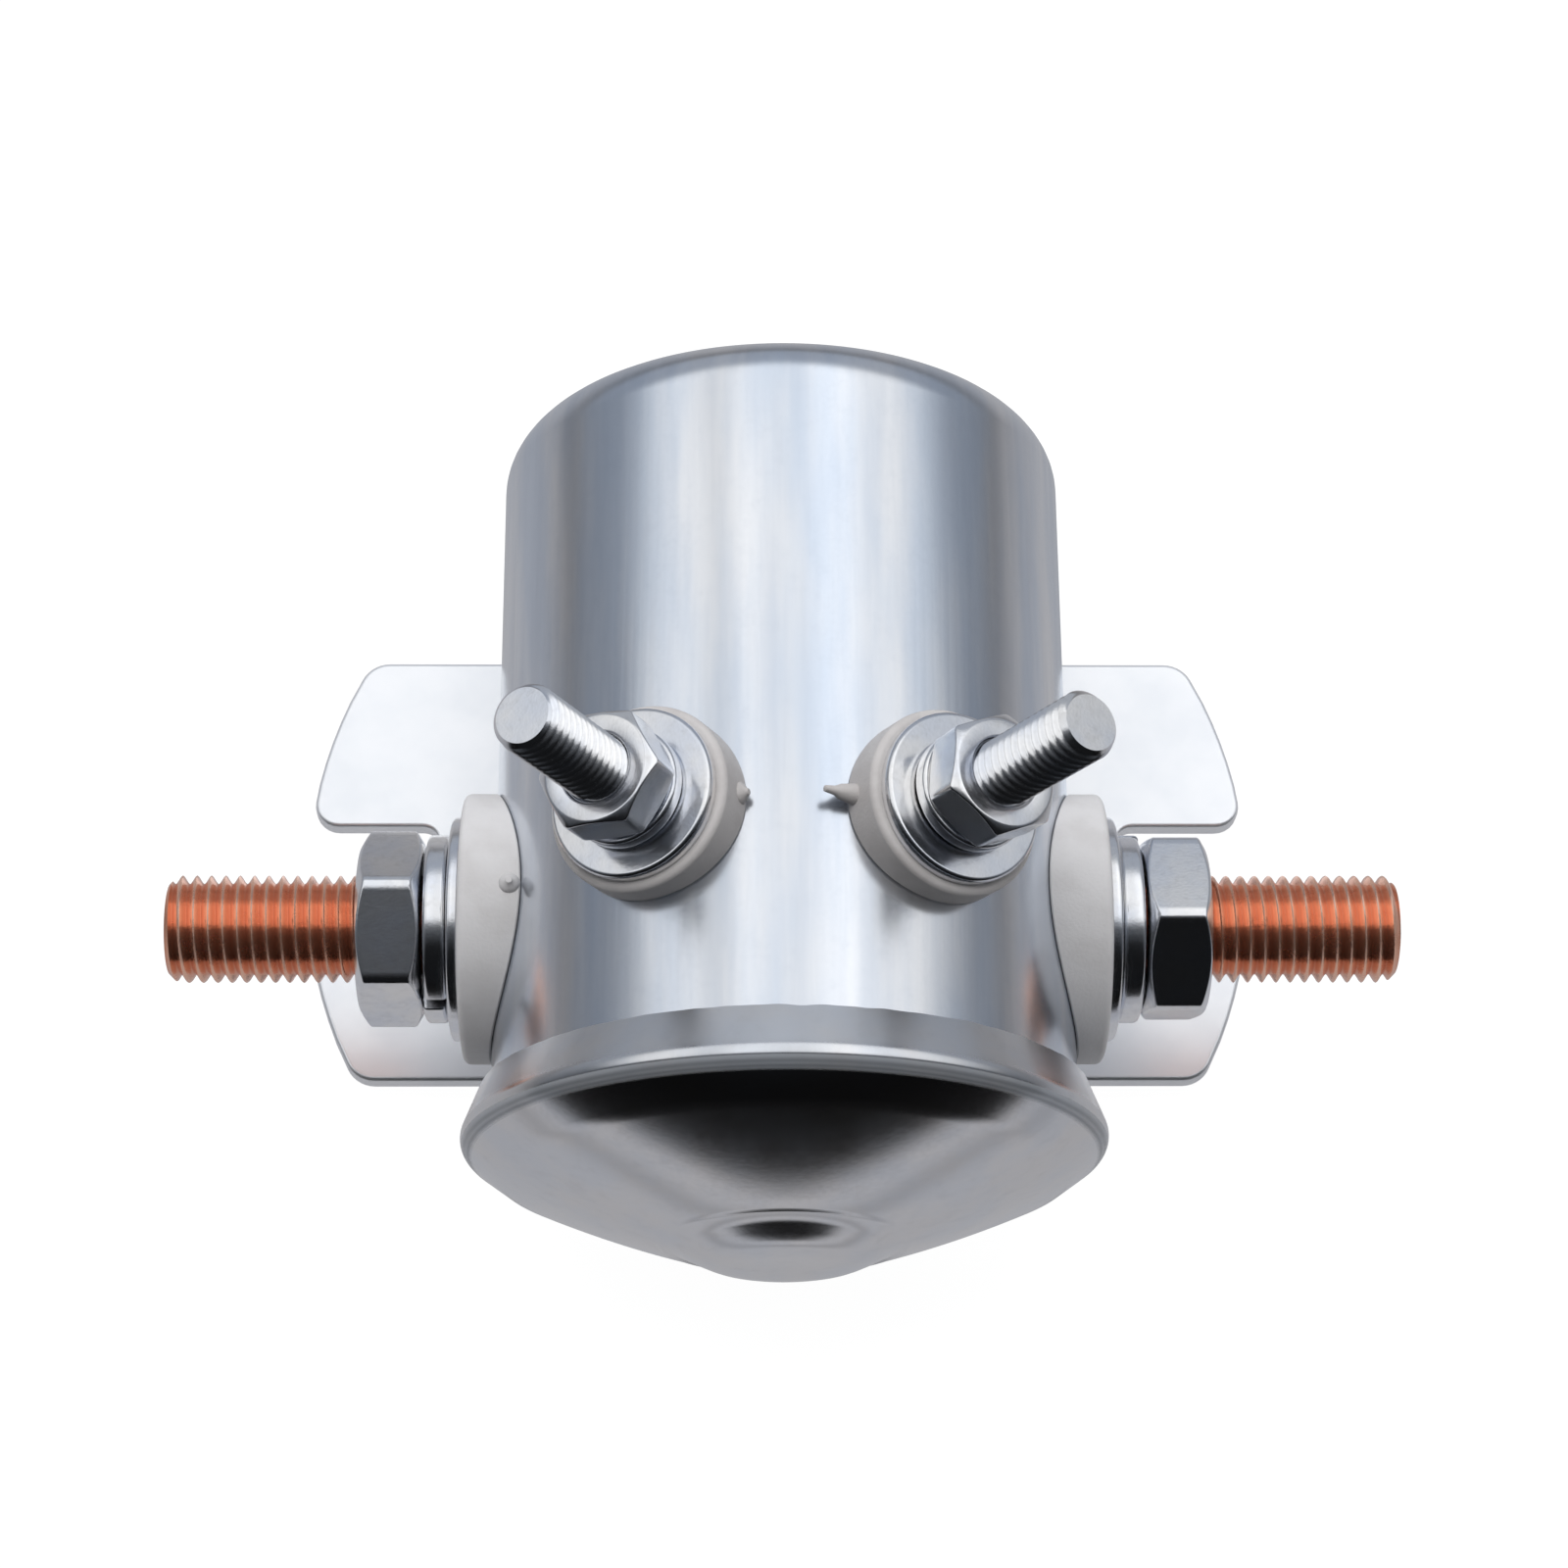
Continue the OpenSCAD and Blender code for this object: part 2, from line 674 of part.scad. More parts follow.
// A lead: a ring under the stud's head, a tail and a wire to the winding
module coil_lead(turn) {
    ring_in = coil_flange_in - ring_t + seat_gap;
    mid = ring_in + lead_r;
    top = bobbin_base + bobbin_flange_t + 2 * lead_d;
    color("chocolate") {
        terminal_frame(turn, coil_level) {
            tube(ring_in, coil_flange_in, coil_d / 2 + running_gap, ring_d / 2);
            translate([0, coil_d / 2 + lead_d, mid]) rotate([-90, 0, 0])
                cylinder(h = top - coil_level - coil_d / 2 - lead_d, r = lead_r);
            translate([0, top - coil_level, mid]) sphere(lead_r);
            translate([0, top - coil_level, winding_r + wrap_t + seat_gap])
                cylinder(h = mid - winding_r - wrap_t - seat_gap, r = lead_r);
        }
    }
}

module bobbin() color("ivory") can_frame() {
    tube(bobbin_base, bobbin_top, bobbin_in_r, bobbin_tube_r);
    tube(bobbin_base, bobbin_base + bobbin_flange_t, bobbin_in_r, bobbin_r);
    tube(bobbin_top - bobbin_flange_t, bobbin_top, bobbin_in_r, bobbin_r);
}

module coil_winding() color("sienna") can_frame()
    tube(bobbin_base + bobbin_flange_t + seat_gap, bobbin_top - bobbin_flange_t - seat_gap,
         bobbin_tube_r + seat_gap, winding_r);

module winding_wrap() color("khaki") can_frame()
    tube(bobbin_base + bobbin_flange_t + seat_gap, bobbin_top - bobbin_flange_t - seat_gap,
         winding_r + seat_gap, winding_r + wrap_t);

module flux_plate() color("gray") can_frame() difference() {
    tube(flux_level, flux_level + flux_t, guide_out_r + seat_gap, flux_r);
    for (turn = [-coil_left_turn, coil_right_turn]) rotate([0, 0, turn - 90])
        translate([flux_r - notch_depth, -notch_w / 2, flux_level - over])
            cube([notch_depth + over, notch_w, flux_t + 2 * over]);
}

module guide_tube() color("gold") can_frame()
    tube(flux_level, bobbin_top, guide_in_r, guide_out_r);

module fixed_core() color("dimgray") can_frame() difference() {
    translate([0, 0, core_base]) cylinder(h = core_len, r = core_r);
    translate([0, 0, core_base - over]) cylinder(h = core_pocket + over, r = spring_bore_r);
}

module plunger() color("slategray") can_frame() difference() {
    translate([0, 0, plunger_base]) cylinder(h = plunger_top - plunger_base, r = plunger_r);
    translate([0, 0, plunger_top - plunger_pocket])
        cylinder(h = plunger_pocket + over, r = spring_bore_r);
    translate([0, 0, plunger_base - over])
        cylinder(h = tenon_len + seat_gap + over, r = tenon_r + seat_gap);
}

module plunger_rod() color("goldenrod") can_frame() rotate_extrude() polygon([
    [0, rod_tip],
    [rod_tip_d / 2 - rod_tip_round, rod_tip],
    [rod_tip_d / 2, rod_tip + rod_tip_round],
    [rod_tip_d / 2, clip_top - clip_t - seat_gap],
    [groove_r, clip_top - clip_t - seat_gap],
    [groove_r, clip_top],
    [rod_tip_d / 2, clip_top],
    [rod_tip_d / 2, shoulder],
    [rod_d / 2, shoulder],
    [rod_d / 2, plunger_base],
    [tenon_r, plunger_base],
    [tenon_r, plunger_base + tenon_len],
    [0, plunger_base + tenon_len]
]);

module rod_clip() color("silver") can_frame() difference() {
    tube(clip_top - clip_t, clip_top - seat_gap, groove_r + seat_gap, clip_r);
    translate([0, -groove_r, clip_top - clip_t - over])
        cube([clip_r + over, 2 * groove_r, clip_t + 2 * over]);
}

module spring_seat() color("silver") can_frame()
    tube(clip_top, clip_top + seat_t, rod_tip_d / 2 + running_gap, seat_d / 2);

module contact_disc() color("peru") can_frame()
    tube(disc_base, disc_top, disc_bush_r + seat_gap, disc_d / 2);

module disc_bush() color("linen") can_frame() {
    tube(disc_top, disc_top + disc_seat_t, rod_tip_d / 2 + running_gap, disc_seat_d / 2);
    tube(washer_base, disc_top + disc_seat_t, rod_tip_d / 2 + running_gap, disc_bush_r);
}

module disc_washer() color("linen") can_frame()
    tube(washer_base, disc_base, disc_bush_r + seat_gap, disc_seat_d / 2);

module return_spring() color("darkgray") can_frame()
    coil_spring((return_d - return_wire) / 2, return_wire, plunger_top - plunger_pocket + seat_gap,
                core_base + core_pocket - seat_gap, return_turns);

module overtravel_spring() color("darkgray") can_frame()
    coil_spring((over_d - over_wire) / 2, over_wire, clip_top + seat_t + seat_gap,
                washer_base - seat_gap, over_turns);

can();
end_cap();
cap_gasket();
mounting_bracket();
power_left() power_stud();  // power_stud_left
power_right() power_stud();  // power_stud_right
power_insulator_left();
power_insulator_right();
power_left() power_bush();  // power_bush_left
power_right() power_bush();  // power_bush_right
power_left() power_washer();  // power_washer_left
power_right() power_washer();  // power_washer_right
power_left() power_lock_washer(power_left_split_turn);  // power_lock_washer_left
power_right() power_lock_washer(power_right_split_turn);  // power_lock_washer_right
power_left() power_nut(power_left_nut_turn);  // power_nut_left
power_right() power_nut(power_right_nut_turn);  // power_nut_right
coil_left() coil_stud();  // coil_stud_left
coil_right() coil_stud();  // coil_stud_right
coil_insulator_left();
coil_insulator_right();
coil_left() coil_bush();  // coil_bush_left
coil_right() coil_bush();  // coil_bush_right
coil_left() coil_washer();  // coil_washer_left
coil_right() coil_washer();  // coil_washer_right
coil_left() coil_lock_washer(coil_split_turn);  // coil_lock_washer_left
coil_right() coil_lock_washer(180 - coil_split_turn);  // coil_lock_washer_right
coil_left() coil_nut(coil_left_nut_turn);  // coil_nut_left
coil_right() coil_nut(coil_right_nut_turn);  // coil_nut_right
coil_lead(-coil_left_turn);  // coil_lead_left
coil_lead(coil_right_turn);  // coil_lead_right
bobbin();
coil_winding();
winding_wrap();
flux_plate();
guide_tube();
fixed_core();
plunger();
plunger_rod();
rod_clip();
spring_seat();
contact_disc();
disc_bush();
disc_washer();
return_spring();
overtravel_spring();
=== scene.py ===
"""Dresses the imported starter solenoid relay: bright zinc steel, copper studs, grey mouldings.

Sizes are in millimetres and repeat those of the part. In the can's frame z runs up the can's
axis from its mouth plane and -y faces the front. In a terminal's frame z runs out along the
stud and y up the can.
"""

import math

import bmesh
import bpy
from mathutils import Matrix, Vector, noise


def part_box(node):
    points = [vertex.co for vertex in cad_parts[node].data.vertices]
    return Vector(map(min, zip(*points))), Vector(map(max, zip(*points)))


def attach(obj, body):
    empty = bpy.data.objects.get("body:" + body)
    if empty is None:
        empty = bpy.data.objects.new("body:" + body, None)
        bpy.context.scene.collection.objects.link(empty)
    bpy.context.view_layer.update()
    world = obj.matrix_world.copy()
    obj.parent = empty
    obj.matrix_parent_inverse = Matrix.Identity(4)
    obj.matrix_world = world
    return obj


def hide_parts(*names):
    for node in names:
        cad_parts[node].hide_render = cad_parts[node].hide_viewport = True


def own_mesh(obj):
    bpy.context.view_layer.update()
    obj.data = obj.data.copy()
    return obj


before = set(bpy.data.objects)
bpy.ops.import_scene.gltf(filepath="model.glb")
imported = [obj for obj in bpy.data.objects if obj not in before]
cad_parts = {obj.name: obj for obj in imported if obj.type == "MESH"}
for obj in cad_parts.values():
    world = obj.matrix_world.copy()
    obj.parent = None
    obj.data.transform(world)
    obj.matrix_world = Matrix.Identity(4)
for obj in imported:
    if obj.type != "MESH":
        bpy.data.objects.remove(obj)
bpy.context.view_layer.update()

MM = 0.001
# The gap between two seated pieces
SEAT_GAP = 0.05

# The can and its flared mouth
CAN_R, CAN_LEN, CAN_WALL, CAN_EDGE_R = 21.3, 55.2, 0.9, 4.25
FLARE_LEN, FLARE_OUT, FLARE_END = 2.6, 1.2, -0.3
AXIS_H = 24.0
# How far a bush hole's drill runs past the can
DRILL_PAST = 5.0

# The end cap
CAP_WALL, FOLD_R, FOLD_X, FOLD_LEVEL = 0.8, 1.2, 22.2, -0.5
SHOULDER_X, SHOULDER_LEVEL = 20.8, -3.05
CONE_DROP, CONE_BOW = 5.4, 0.25
BOSS_R, BOSS_END, BOSS_LIP_R = 7.2, -9.55, 1.0
DIMPLE_R, DIMPLE_FLOOR_R, DIMPLE_TOP = 4.25, 1.9, -7.15
# The fine groove round the boss, and the boss's outside as (radius, level) from there inwards
GROOVE_R = 9.35
BOSS_FACE = [
    (9.3, -7.74), (9.1, -7.85), (8.9, -7.92), (8.4, -7.96), (7.6, -8.34), (6.8, -8.76),
    (6.1, -9.09), (5.6, -9.29), (5.1, -9.42), (4.5, -9.50), (3.8, -9.53), (2.5, -9.50),
    (1.2, -9.44), (0.0, -9.42),
]
# The burnished ring under the fold: its upper level and soft edge, the radii where it comes in
# and is full, and the spacing of its turned lines
RING_LEVEL, RING_SOFT, RING_IN_R, RING_FULL_R, RING_LINES = -0.86, 0.08, 22.5, 22.75, 0.32
# How far above the ring the cap's band turns dull, and how much rougher it is from there on
BAND_LEN, BAND_DULL = 1.2, 0.15
# The band's trimmed edge: the height and counts of its waves, and the height, count and
# threshold of its small tears
TRIM_WAVE, TRIM_WAVES = 0.10, (2.6, 14.0)
TRIM_TEAR, TRIM_TEARS, TRIM_TEAR_FROM = 0.12, 28.0, 0.35

# The bracket
PLATE_T, PLATE_W, PLATE_H, PLATE_CENTRE = 1.6, 76.6, 36.2, 29.2
SLOT_W, SLOT_END, SLOT_END_R, SLOT_MOUTH_R, PLATE_CORNER_R = 7.0, 27.7, 1.3, 2.0, 2.5
# The broken edge at its back and the rounding that the die draws at its front
BACK_EDGE, FRONT_ROUND = 0.08, 0.42
# The weld pads, how deep they start in the sheet, and how high they stand before the can
# shapes their tops
PAD_R, PAD_PITCH, PAD_SINK, PAD_TALL = 3.0, 20.0, 0.4, 9.0
# The dimple behind each pad: its depth, and its radii at the sheet's back and floor as shares
EMBOSS_DEPTH, EMBOSS_FOOT, EMBOSS_FLOOR = 1.3, 0.8, 0.5

# Both kinds of terminal; the distances along the stud run from the can's axis
POWER = {
    "level": 16.0, "stud_r": 3.97, "pitch": 1.058, "ins_r": 10.0, "washer_r": 8.3,
    "lock_r": 6.95, "lock_gap": 0.35, "nut_af": 12.7, "face": 23.5, "lock_in": 24.4,
    "nut_in": 26.4, "nut_out": 31.15, "tip": 45.25, "chamfer": 0.6, "bush_r": 5.32,
    "flange_in": 17.66, "split": 1.1,
}
COIL = {
    "level": 18.2, "stud_r": 2.4, "pitch": 0.794, "ins_r": 6.8, "washer_r": 6.15,
    "lock_r": 4.25, "lock_gap": 0.2, "nut_af": 8.0, "face": 23.6, "lock_in": 24.7,
    "nut_in": 26.3, "nut_out": 29.7, "tip": 39.7, "chamfer": 0.45, "bush_r": 3.35,
    "flange_in": 18.58, "split": 0.9,
}
# Each terminal's kind, the turns in degrees of its stud from the can's front, of its nut and of
# its washer's split, and its insulator's moulding nub: that one's turn and how far it stands out
TERMINALS = {
    "power_left": (POWER, -90.0, 9.4, -72.0, (0, 0.7)),
    "power_right": (POWER, 90.0, 11.0, 118.0, (0, 0.7)),
    "coil_left": (COIL, -26.1, 58.0, 200.0, (0, 0.6)),
    "coil_right": (COIL, 29.6, 23.0, -20.0, (180, 2.4)),
}
# How much wider a bore is than its stud, and a neck narrower
BORE_PLAY = 0.05


def turned(degrees, axis):
    return Matrix.Rotation(math.radians(degrees), 4, axis)


CAN_FRAME = Matrix.Translation((0, -PLATE_CENTRE, AXIS_H)) @ turned(-90, "X")


def terminal_frame(turn, level):
    return CAN_FRAME @ Matrix.Translation((0, 0, level)) @ turned(turn, "Z") @ turned(90, "X")


# ---- Materials ----


def paint(code):
    """An sRGB hex colour as the linear one that a shader takes."""
    shares = [int(code[i : i + 2], 16) / 255 for i in (0, 2, 4)]
    return [c / 12.92 if c <= 0.04045 else ((c + 0.055) / 1.055) ** 2.4 for c in shares] + [1.0]


def add(tree, kind, inputs=None, **settings):
    """Adds a node: its own settings, and its sockets' values or links by name or number. Returns
    its outputs."""
    node = tree.nodes.new(kind)
    for name, value in settings.items():
        setattr(node, name, value)
    for key, value in (inputs or {}).items():
        if isinstance(value, bpy.types.NodeSocket):
            tree.links.new(value, node.inputs[key])
        else:
            node.inputs[key].default_value = value
    return node.outputs


def new_material(name):
    material = bpy.data.materials.new(name)
    material.use_nodes = True
    material.node_tree.nodes.clear()
    return material, material.node_tree


def speckle(tree, place, size, low, high, detail=3.0, rough=0.55):
    """A noise whose features are about that many millimetres, spread from 0 at low to 1 at
    high."""
    grain = add(tree, "ShaderNodeTexNoise", {
        "Vector": place, "Scale": 1 / (size * MM), "Detail": detail, "Roughness": rough})["Fac"]
    return add(tree, "ShaderNodeMapRange", {"Value": grain, "From Min": low, "From Max": high},
               interpolation_type="SMOOTHSTEP")[0]


def tinted(tree, base, other, mask, strength):
    """The base colour with the other one over it where the mask is, at that strength."""
    share = add(tree, "ShaderNodeMath", {0: mask, 1: strength}, operation="MULTIPLY")[0]
    return add(tree, "ShaderNodeMix", {"Factor": share, 6: base, 7: paint(other)},
               data_type="RGBA")[2]


def distance_from(tree, place, axis, across):
    """How far the place is from the axis through that point in mm; across has 0 along it."""
    out = add(tree, "ShaderNodeVectorMath", {0: place, 1: Vector(axis) * MM},
              operation="SUBTRACT")[0]
    out = add(tree, "ShaderNodeVectorMath", {0: out, 1: across}, operation="MULTIPLY")[0]
    return add(tree, "ShaderNodeVectorMath", {0: out}, operation="LENGTH")["Value"]


def metal_skin(tree, colour, roughness, height, depth, metallic):
    """Ends a material as metal whose surface rises and falls by that depth in mm. Less than
    wholly metallic is a plate or oxide that scatters some of the light."""
    surface = add(tree, "ShaderNodeBump", {
        "Height": height, "Strength": 0.35, "Distance": depth * MM})[0]
    skin = add(tree, "ShaderNodeBsdfPrincipled", {
        "Base Color": colour, "Metallic": metallic, "Roughness": roughness,
        "Normal": surface})[0]
    add(tree, "ShaderNodeOutputMaterial", {"Surface": skin})


def burnished(tree, place, colour, roughness, metallic):
    """What the spinning tool left on the cap: a duller, greyer ring with turned lines under the
    fold, and a band above it that is only rougher. Returns the colour, roughness and
    metallic."""
    away = distance_from(tree, place, (0, 0, AXIS_H), across=(1, 0, 1))
    ring = add(tree, "ShaderNodeMapRange", {
        "Value": away, "From Min": RING_IN_R * MM, "From Max": RING_FULL_R * MM})[0]
    along = add(tree, "ShaderNodeSeparateXYZ", {0: place})[1]
    start = (RING_LEVEL - PLATE_CENTRE) * MM
    under = add(tree, "ShaderNodeMapRange", {
        "Value": along, "From Min": start, "From Max": start - RING_SOFT * MM})[0]
    rub = add(tree, "ShaderNodeMath", {0: ring, 1: under}, operation="MULTIPLY")[0]
    lines = add(tree, "ShaderNodeMath", {0: away, 1: math.tau / (RING_LINES * MM)},
                operation="MULTIPLY")[0]
    lines = add(tree, "ShaderNodeMath", {0: lines}, operation="SINE")[0]
    lines = add(tree, "ShaderNodeMapRange", {"Value": lines, "From Min": -1.0})[0]
    lines = add(tree, "ShaderNodeMath", {0: lines, 1: rub}, operation="MULTIPLY")[0]
    colour = tinted(tree, colour, "8E949C", rub, 0.6)
    colour = tinted(tree, colour, "5C6068", lines, 0.35)
    metallic = add(tree, "ShaderNodeMapRange", {
        "Value": rub, "To Min": metallic, "To Max": 0.35})[0]
    band = add(tree, "ShaderNodeMapRange", {
        "Value": along, "From Min": start, "From Max": start + BAND_LEN * MM,
        "To Max": BAND_DULL})[0]
    roughness = add(tree, "ShaderNodeMath", {0: roughness, 1: band}, operation="ADD")[0]
    return colour, roughness, metallic


def zinc(name, base, cloud, stain, rough, dirt, depth, grain=0.35, speck=1.4, metallic=1.0,
         streaked=False, rubbed=False):
    """Bright zinc plate on steel: a clear blue passivate whose tint drifts in soft clouds, over
    the crystals of the plate, drawn coarser than the real ones so that they show. Streaked adds
    the lines of the draw along the can and stretches the clouds that way."""
    material, tree = new_material(name)
    place = add(tree, "ShaderNodeTexCoord")["Object"]
    drift = place
    if streaked:
        drift = add(tree, "ShaderNodeMapping", {"Vector": place, "Scale": (1.0, 0.16, 1.0)})[0]
    clouds = speckle(tree, drift, size=5.0, low=0.30, high=0.70)
    stains = speckle(tree, place, size=speck, low=0.45, high=0.90, detail=5.0)
    crystals = speckle(tree, place, size=grain, low=0.30, high=0.70, detail=2.0)
    colour = tinted(tree, paint(base), cloud, clouds, 1.0)
    colour = tinted(tree, colour, stain, stains, dirt)
    height = crystals
    if streaked:
        lines = add(tree, "ShaderNodeMapping", {"Vector": place, "Scale": (1.0, 0.06, 1.0)})[0]
        drawn = speckle(tree, lines, size=1.6, low=0.30, high=0.70)
        colour = tinted(tree, colour, stain, drawn, 0.22)
        height = add(tree, "ShaderNodeMath", {0: crystals, 1: drawn}, operation="ADD")[0]
    cloudy = add(tree, "ShaderNodeMapRange", {
        "Value": clouds, "To Min": rough - 0.015, "To Max": rough + 0.015})[0]
    roughness = add(tree, "ShaderNodeMath", {0: crystals, 1: 0.02, 2: cloudy},
                    operation="MULTIPLY_ADD")[0]
    if rubbed:
        colour, roughness, metallic = burnished(tree, place, colour, roughness, metallic)
    metal_skin(tree, colour, roughness, height, depth, metallic)
    return material


def plain_metal(name, base, dark, rough, dirt=0.5, root_shade=None, metallic=1.0):
    """Uncoated metal as it leaves the tool: a fine grain, with darker handling marks. For a
    thread, one more argument gives its axis along y and z, the radii of its roots and crests,
    and the colour of painted shade that makes its roots darker and redder."""
    material, tree = new_material(name)
    place = add(tree, "ShaderNodeTexCoord")["Object"]
    marks = speckle(tree, place, size=1.6, low=0.45, high=0.75, detail=5.0, rough=0.65)
    fine = speckle(tree, place, size=0.3, low=0.30, high=0.70, detail=2.0)
    colour = tinted(tree, paint(base), dark, marks, dirt)
    if root_shade:
        y, z, root_r, crest_r, root_shade_colour = root_shade
        away = distance_from(tree, place, (0, y, z), across=(0, 1, 1))
        sunk = add(tree, "ShaderNodeMapRange", {
            "Value": away, "From Min": crest_r * MM, "From Max": root_r * MM})[0]
        # Painted shade: the thread turns darker and redder from its crests down to its roots
        colour = tinted(tree, colour, root_shade_colour, sunk, 0.8)
    roughness = add(tree, "ShaderNodeMapRange", {
        "Value": marks, "To Min": rough, "To Max": rough + 0.12})[0]
    metal_skin(tree, colour, roughness, fine, 0.01, metallic)
    return material


def moulding(name, base, shade, rough, grain=0.25, depth=0.02):
    """A moulded or fibrous stuff that isn't metal: a soft mottle and sparse specks over the
    fine texture of the mould."""
    material, tree = new_material(name)
    place = add(tree, "ShaderNodeTexCoord")["Object"]
    clouds = speckle(tree, place, size=4.0, low=0.40, high=0.70, detail=4.0)
    specks = speckle(tree, place, size=0.5, low=0.68, high=0.78, detail=2.0)
    skin = speckle(tree, place, size=grain, low=0.30, high=0.70)
    colour = tinted(tree, paint(base), shade, clouds, 0.6)
    colour = tinted(tree, colour, shade, specks, 0.25)
    roughness = add(tree, "ShaderNodeMapRange", {
        "Value": skin, "To Min": rough - 0.06, "To Max": rough + 0.06})[0]
    surface = add(tree, "ShaderNodeBump", {
        "Height": skin, "Strength": 0.4, "Distance": depth * MM})[0]
    body = add(tree, "ShaderNodeBsdfPrincipled", {
        "Base Color": colour, "IOR": 1.5, "Roughness": roughness, "Normal": surface})[0]
    add(tree, "ShaderNodeOutputMaterial", {"Surface": body})
    return material


# Deep-drawn steel with clear blue zinc: soft lines up the can and pale blue drifts
CAN_ZINC = zinc("zinc_plated_drawn_steel", "F0F1F3", "D9E2EE", "B7C0CE", 0.22, dirt=0.12,
                depth=0.0015, streaked=True)
# Pressed sheet with the same zinc: smooth and slightly warm, dull grey where it was spun over
CAP_ZINC = zinc("zinc_plated_pressed_cap", "E2E1E1", "DCDFE4", "A4A2A0", 0.16, dirt=0.15,
                depth=0.0015, rubbed=True)
# Flat stamped sheet, the palest and most even of the zinc
PLATE_ZINC = zinc("zinc_plated_flat_sheet", "FBFCFE", "F4F6F9", "D0D4DA", 0.30, dirt=0.03,
                  depth=0.0008, metallic=0.75)
# Small plated hardware: bright, with close brownish handling stains
HARDWARE_ZINC = zinc("zinc_plated_hardware", "F4F3F2", "E4E8F0", "A8A4A2", 0.18, dirt=0.25,
                     depth=0.004, grain=0.2, speck=0.7)
# Rolled thread in electrical copper: bright salmon crests, with painted shade that makes the
# roots darker and redder
COPPER = plain_metal("rolled_copper_thread", "FFCCB2", "EDA585", 0.20, dirt=0.3,
                     root_shade=(POWER["level"] - PLATE_CENTRE, AXIS_H, 3.2, 3.9, "DE8660"),
                     metallic=0.95)
# The same copper punched flat, a little duller
DISC_COPPER = plain_metal("punched_copper_disc", "F8BFA6", "D98E6C", 0.25, dirt=0.3)
# Moulded insulating plastic, warm light grey and matt
GREY_MOULDING = moulding("moulded_grey_insulator", "D8D6D6", "C9C6C5", 0.52)
# The coil studs' insulators: a darker copy of the grey moulding, as painted shade
SHADED_GREY_MOULDING = moulding("moulded_grey_insulator_painted_shade", "C6C2C0", "B2ADAB", 0.5)
# Unfilled nylon: creamy, with a slight gloss
BOBBIN_NYLON = moulding("moulded_nylon_bobbin", "E9E2CF", "DDD3BA", 0.45)
# Kraft paper: brown, dull and visibly fibrous
WRAP_PAPER = moulding("kraft_paper_wrap", "B98F55", "A47A42", 0.8, grain=0.6, depth=0.04)
# Nitrile rubber: near black, with a dull skin
GASKET_RUBBER = moulding("nitrile_rubber_gasket", "2A2A2C", "1D1D1F", 0.65)
# Copper under clear enamel: a deep glossy orange brown
ENAMELLED_WIRE = plain_metal("enamelled_copper_wire", "B4562A", "7F3216", 0.22)
# Turned mild steel: neutral grey with a soft sheen
PLAIN_STEEL = plain_metal("machined_mild_steel", "B9BBBE", "85878B", 0.30)
# Hard-drawn spring wire: brighter than the turned steel
SPRING_STEEL = plain_metal("drawn_spring_steel", "C2C4C8", "7E8087", 0.24)
# Drawn brass: yellow, with brown handling marks
TUBE_BRASS = plain_metal("drawn_brass_tube", "D9B566", "A37F38", 0.25)


# ---- Mesh making ----


def arc(centre, r, start, stop, steps):
    return [(centre[0] + r * math.cos(start + (stop - start) * k / steps),
             centre[1] + r * math.sin(start + (stop - start) * k / steps))
            for k in range(steps + 1)]


def rounded_outline(corners, steps):
    """A closed outline of (x, y) points from (x, y, radius) corners, each rounded to its
    radius."""
    points = []
    for i, (x, y, r) in enumerate(corners):
        b = Vector((x, y))
        if r <= 0:
            points.append((x, y))
            continue
        a = Vector(corners[i - 1][:2])
        c = Vector(corners[(i + 1) % len(corners)][:2])
        u, v = (a - b).normalized(), (c - b).normalized()
        half = u.angle(v) / 2
        centre = b + (u + v).normalized() * r / math.sin(half)
        first = b + u * r / math.tan(half) - centre
        last = b + v * r / math.tan(half) - centre
        start = math.atan2(first.y, first.x)
        sweep = math.atan2(first.x * last.y - first.y * last.x, first.dot(last))
        points += arc(centre, r, start, start + sweep, steps)
    return points


def beside(points, d):
    """The path's points, each moved by d to the left of the path."""
    result, last = [], len(points) - 1
    for i, p in enumerate(points):
        a = Vector(points[max(i, 1)]) - Vector(points[max(i, 1) - 1])
        b = Vector(points[min(i + 1, last)]) - Vector(points[min(i + 1, last) - 1])
        m, n = Vector((-a.y, a.x)).normalized(), Vector((-b.y, b.x)).normalized()
        q = Vector(p) + d * (m + n) / (1 + m.dot(n))
        result.append((q.x, q.y))
    return result


def lathe(profile, steps, shift=None, start=0.0, sweep=360.0, rise=0.0):
    """Turns a closed outline of (radius, height) points about z into one solid. shift(i, angle,
    r, z) may move a point; a sweep under a full turn has end faces and may rise like a screw."""
    bm = bmesh.new()
    whole = sweep >= 360.0
    columns = []
    for k in range(steps if whole else steps + 1):
        share = k / steps
        a = math.radians(start + sweep * share)
        column = []
        for i, (r, z) in enumerate(profile):
            if shift:
                r, z = shift(i, a, r, z)
            if r < 1e-6 and k:
                column.append(columns[0][i])
                continue
            spot = (r * math.cos(a), r * math.sin(a), z + rise * (share - 0.5))
            column.append(bm.verts.new(spot))
        columns.append(column)
    n = len(profile)
    for k in range(steps):
        near, far = columns[k], columns[(k + 1) % len(columns)]
        for i in range(n):
            j = (i + 1) % n
            ring = []
            for v in (near[i], far[i], far[j], near[j]):
                if v not in ring:
                    ring.append(v)
            if len(ring) > 2:
                bm.faces.new(ring)
    if not whole:
        bm.faces.new(columns[0])
        bm.faces.new(columns[-1])
    bmesh.ops.recalc_face_normals(bm, faces=bm.faces)
    return bm


def turned_bar(r, low, high, steps, bore=0.0):
    return lathe([(bore, low), (r, low), (r, high), (bore, high)], steps)


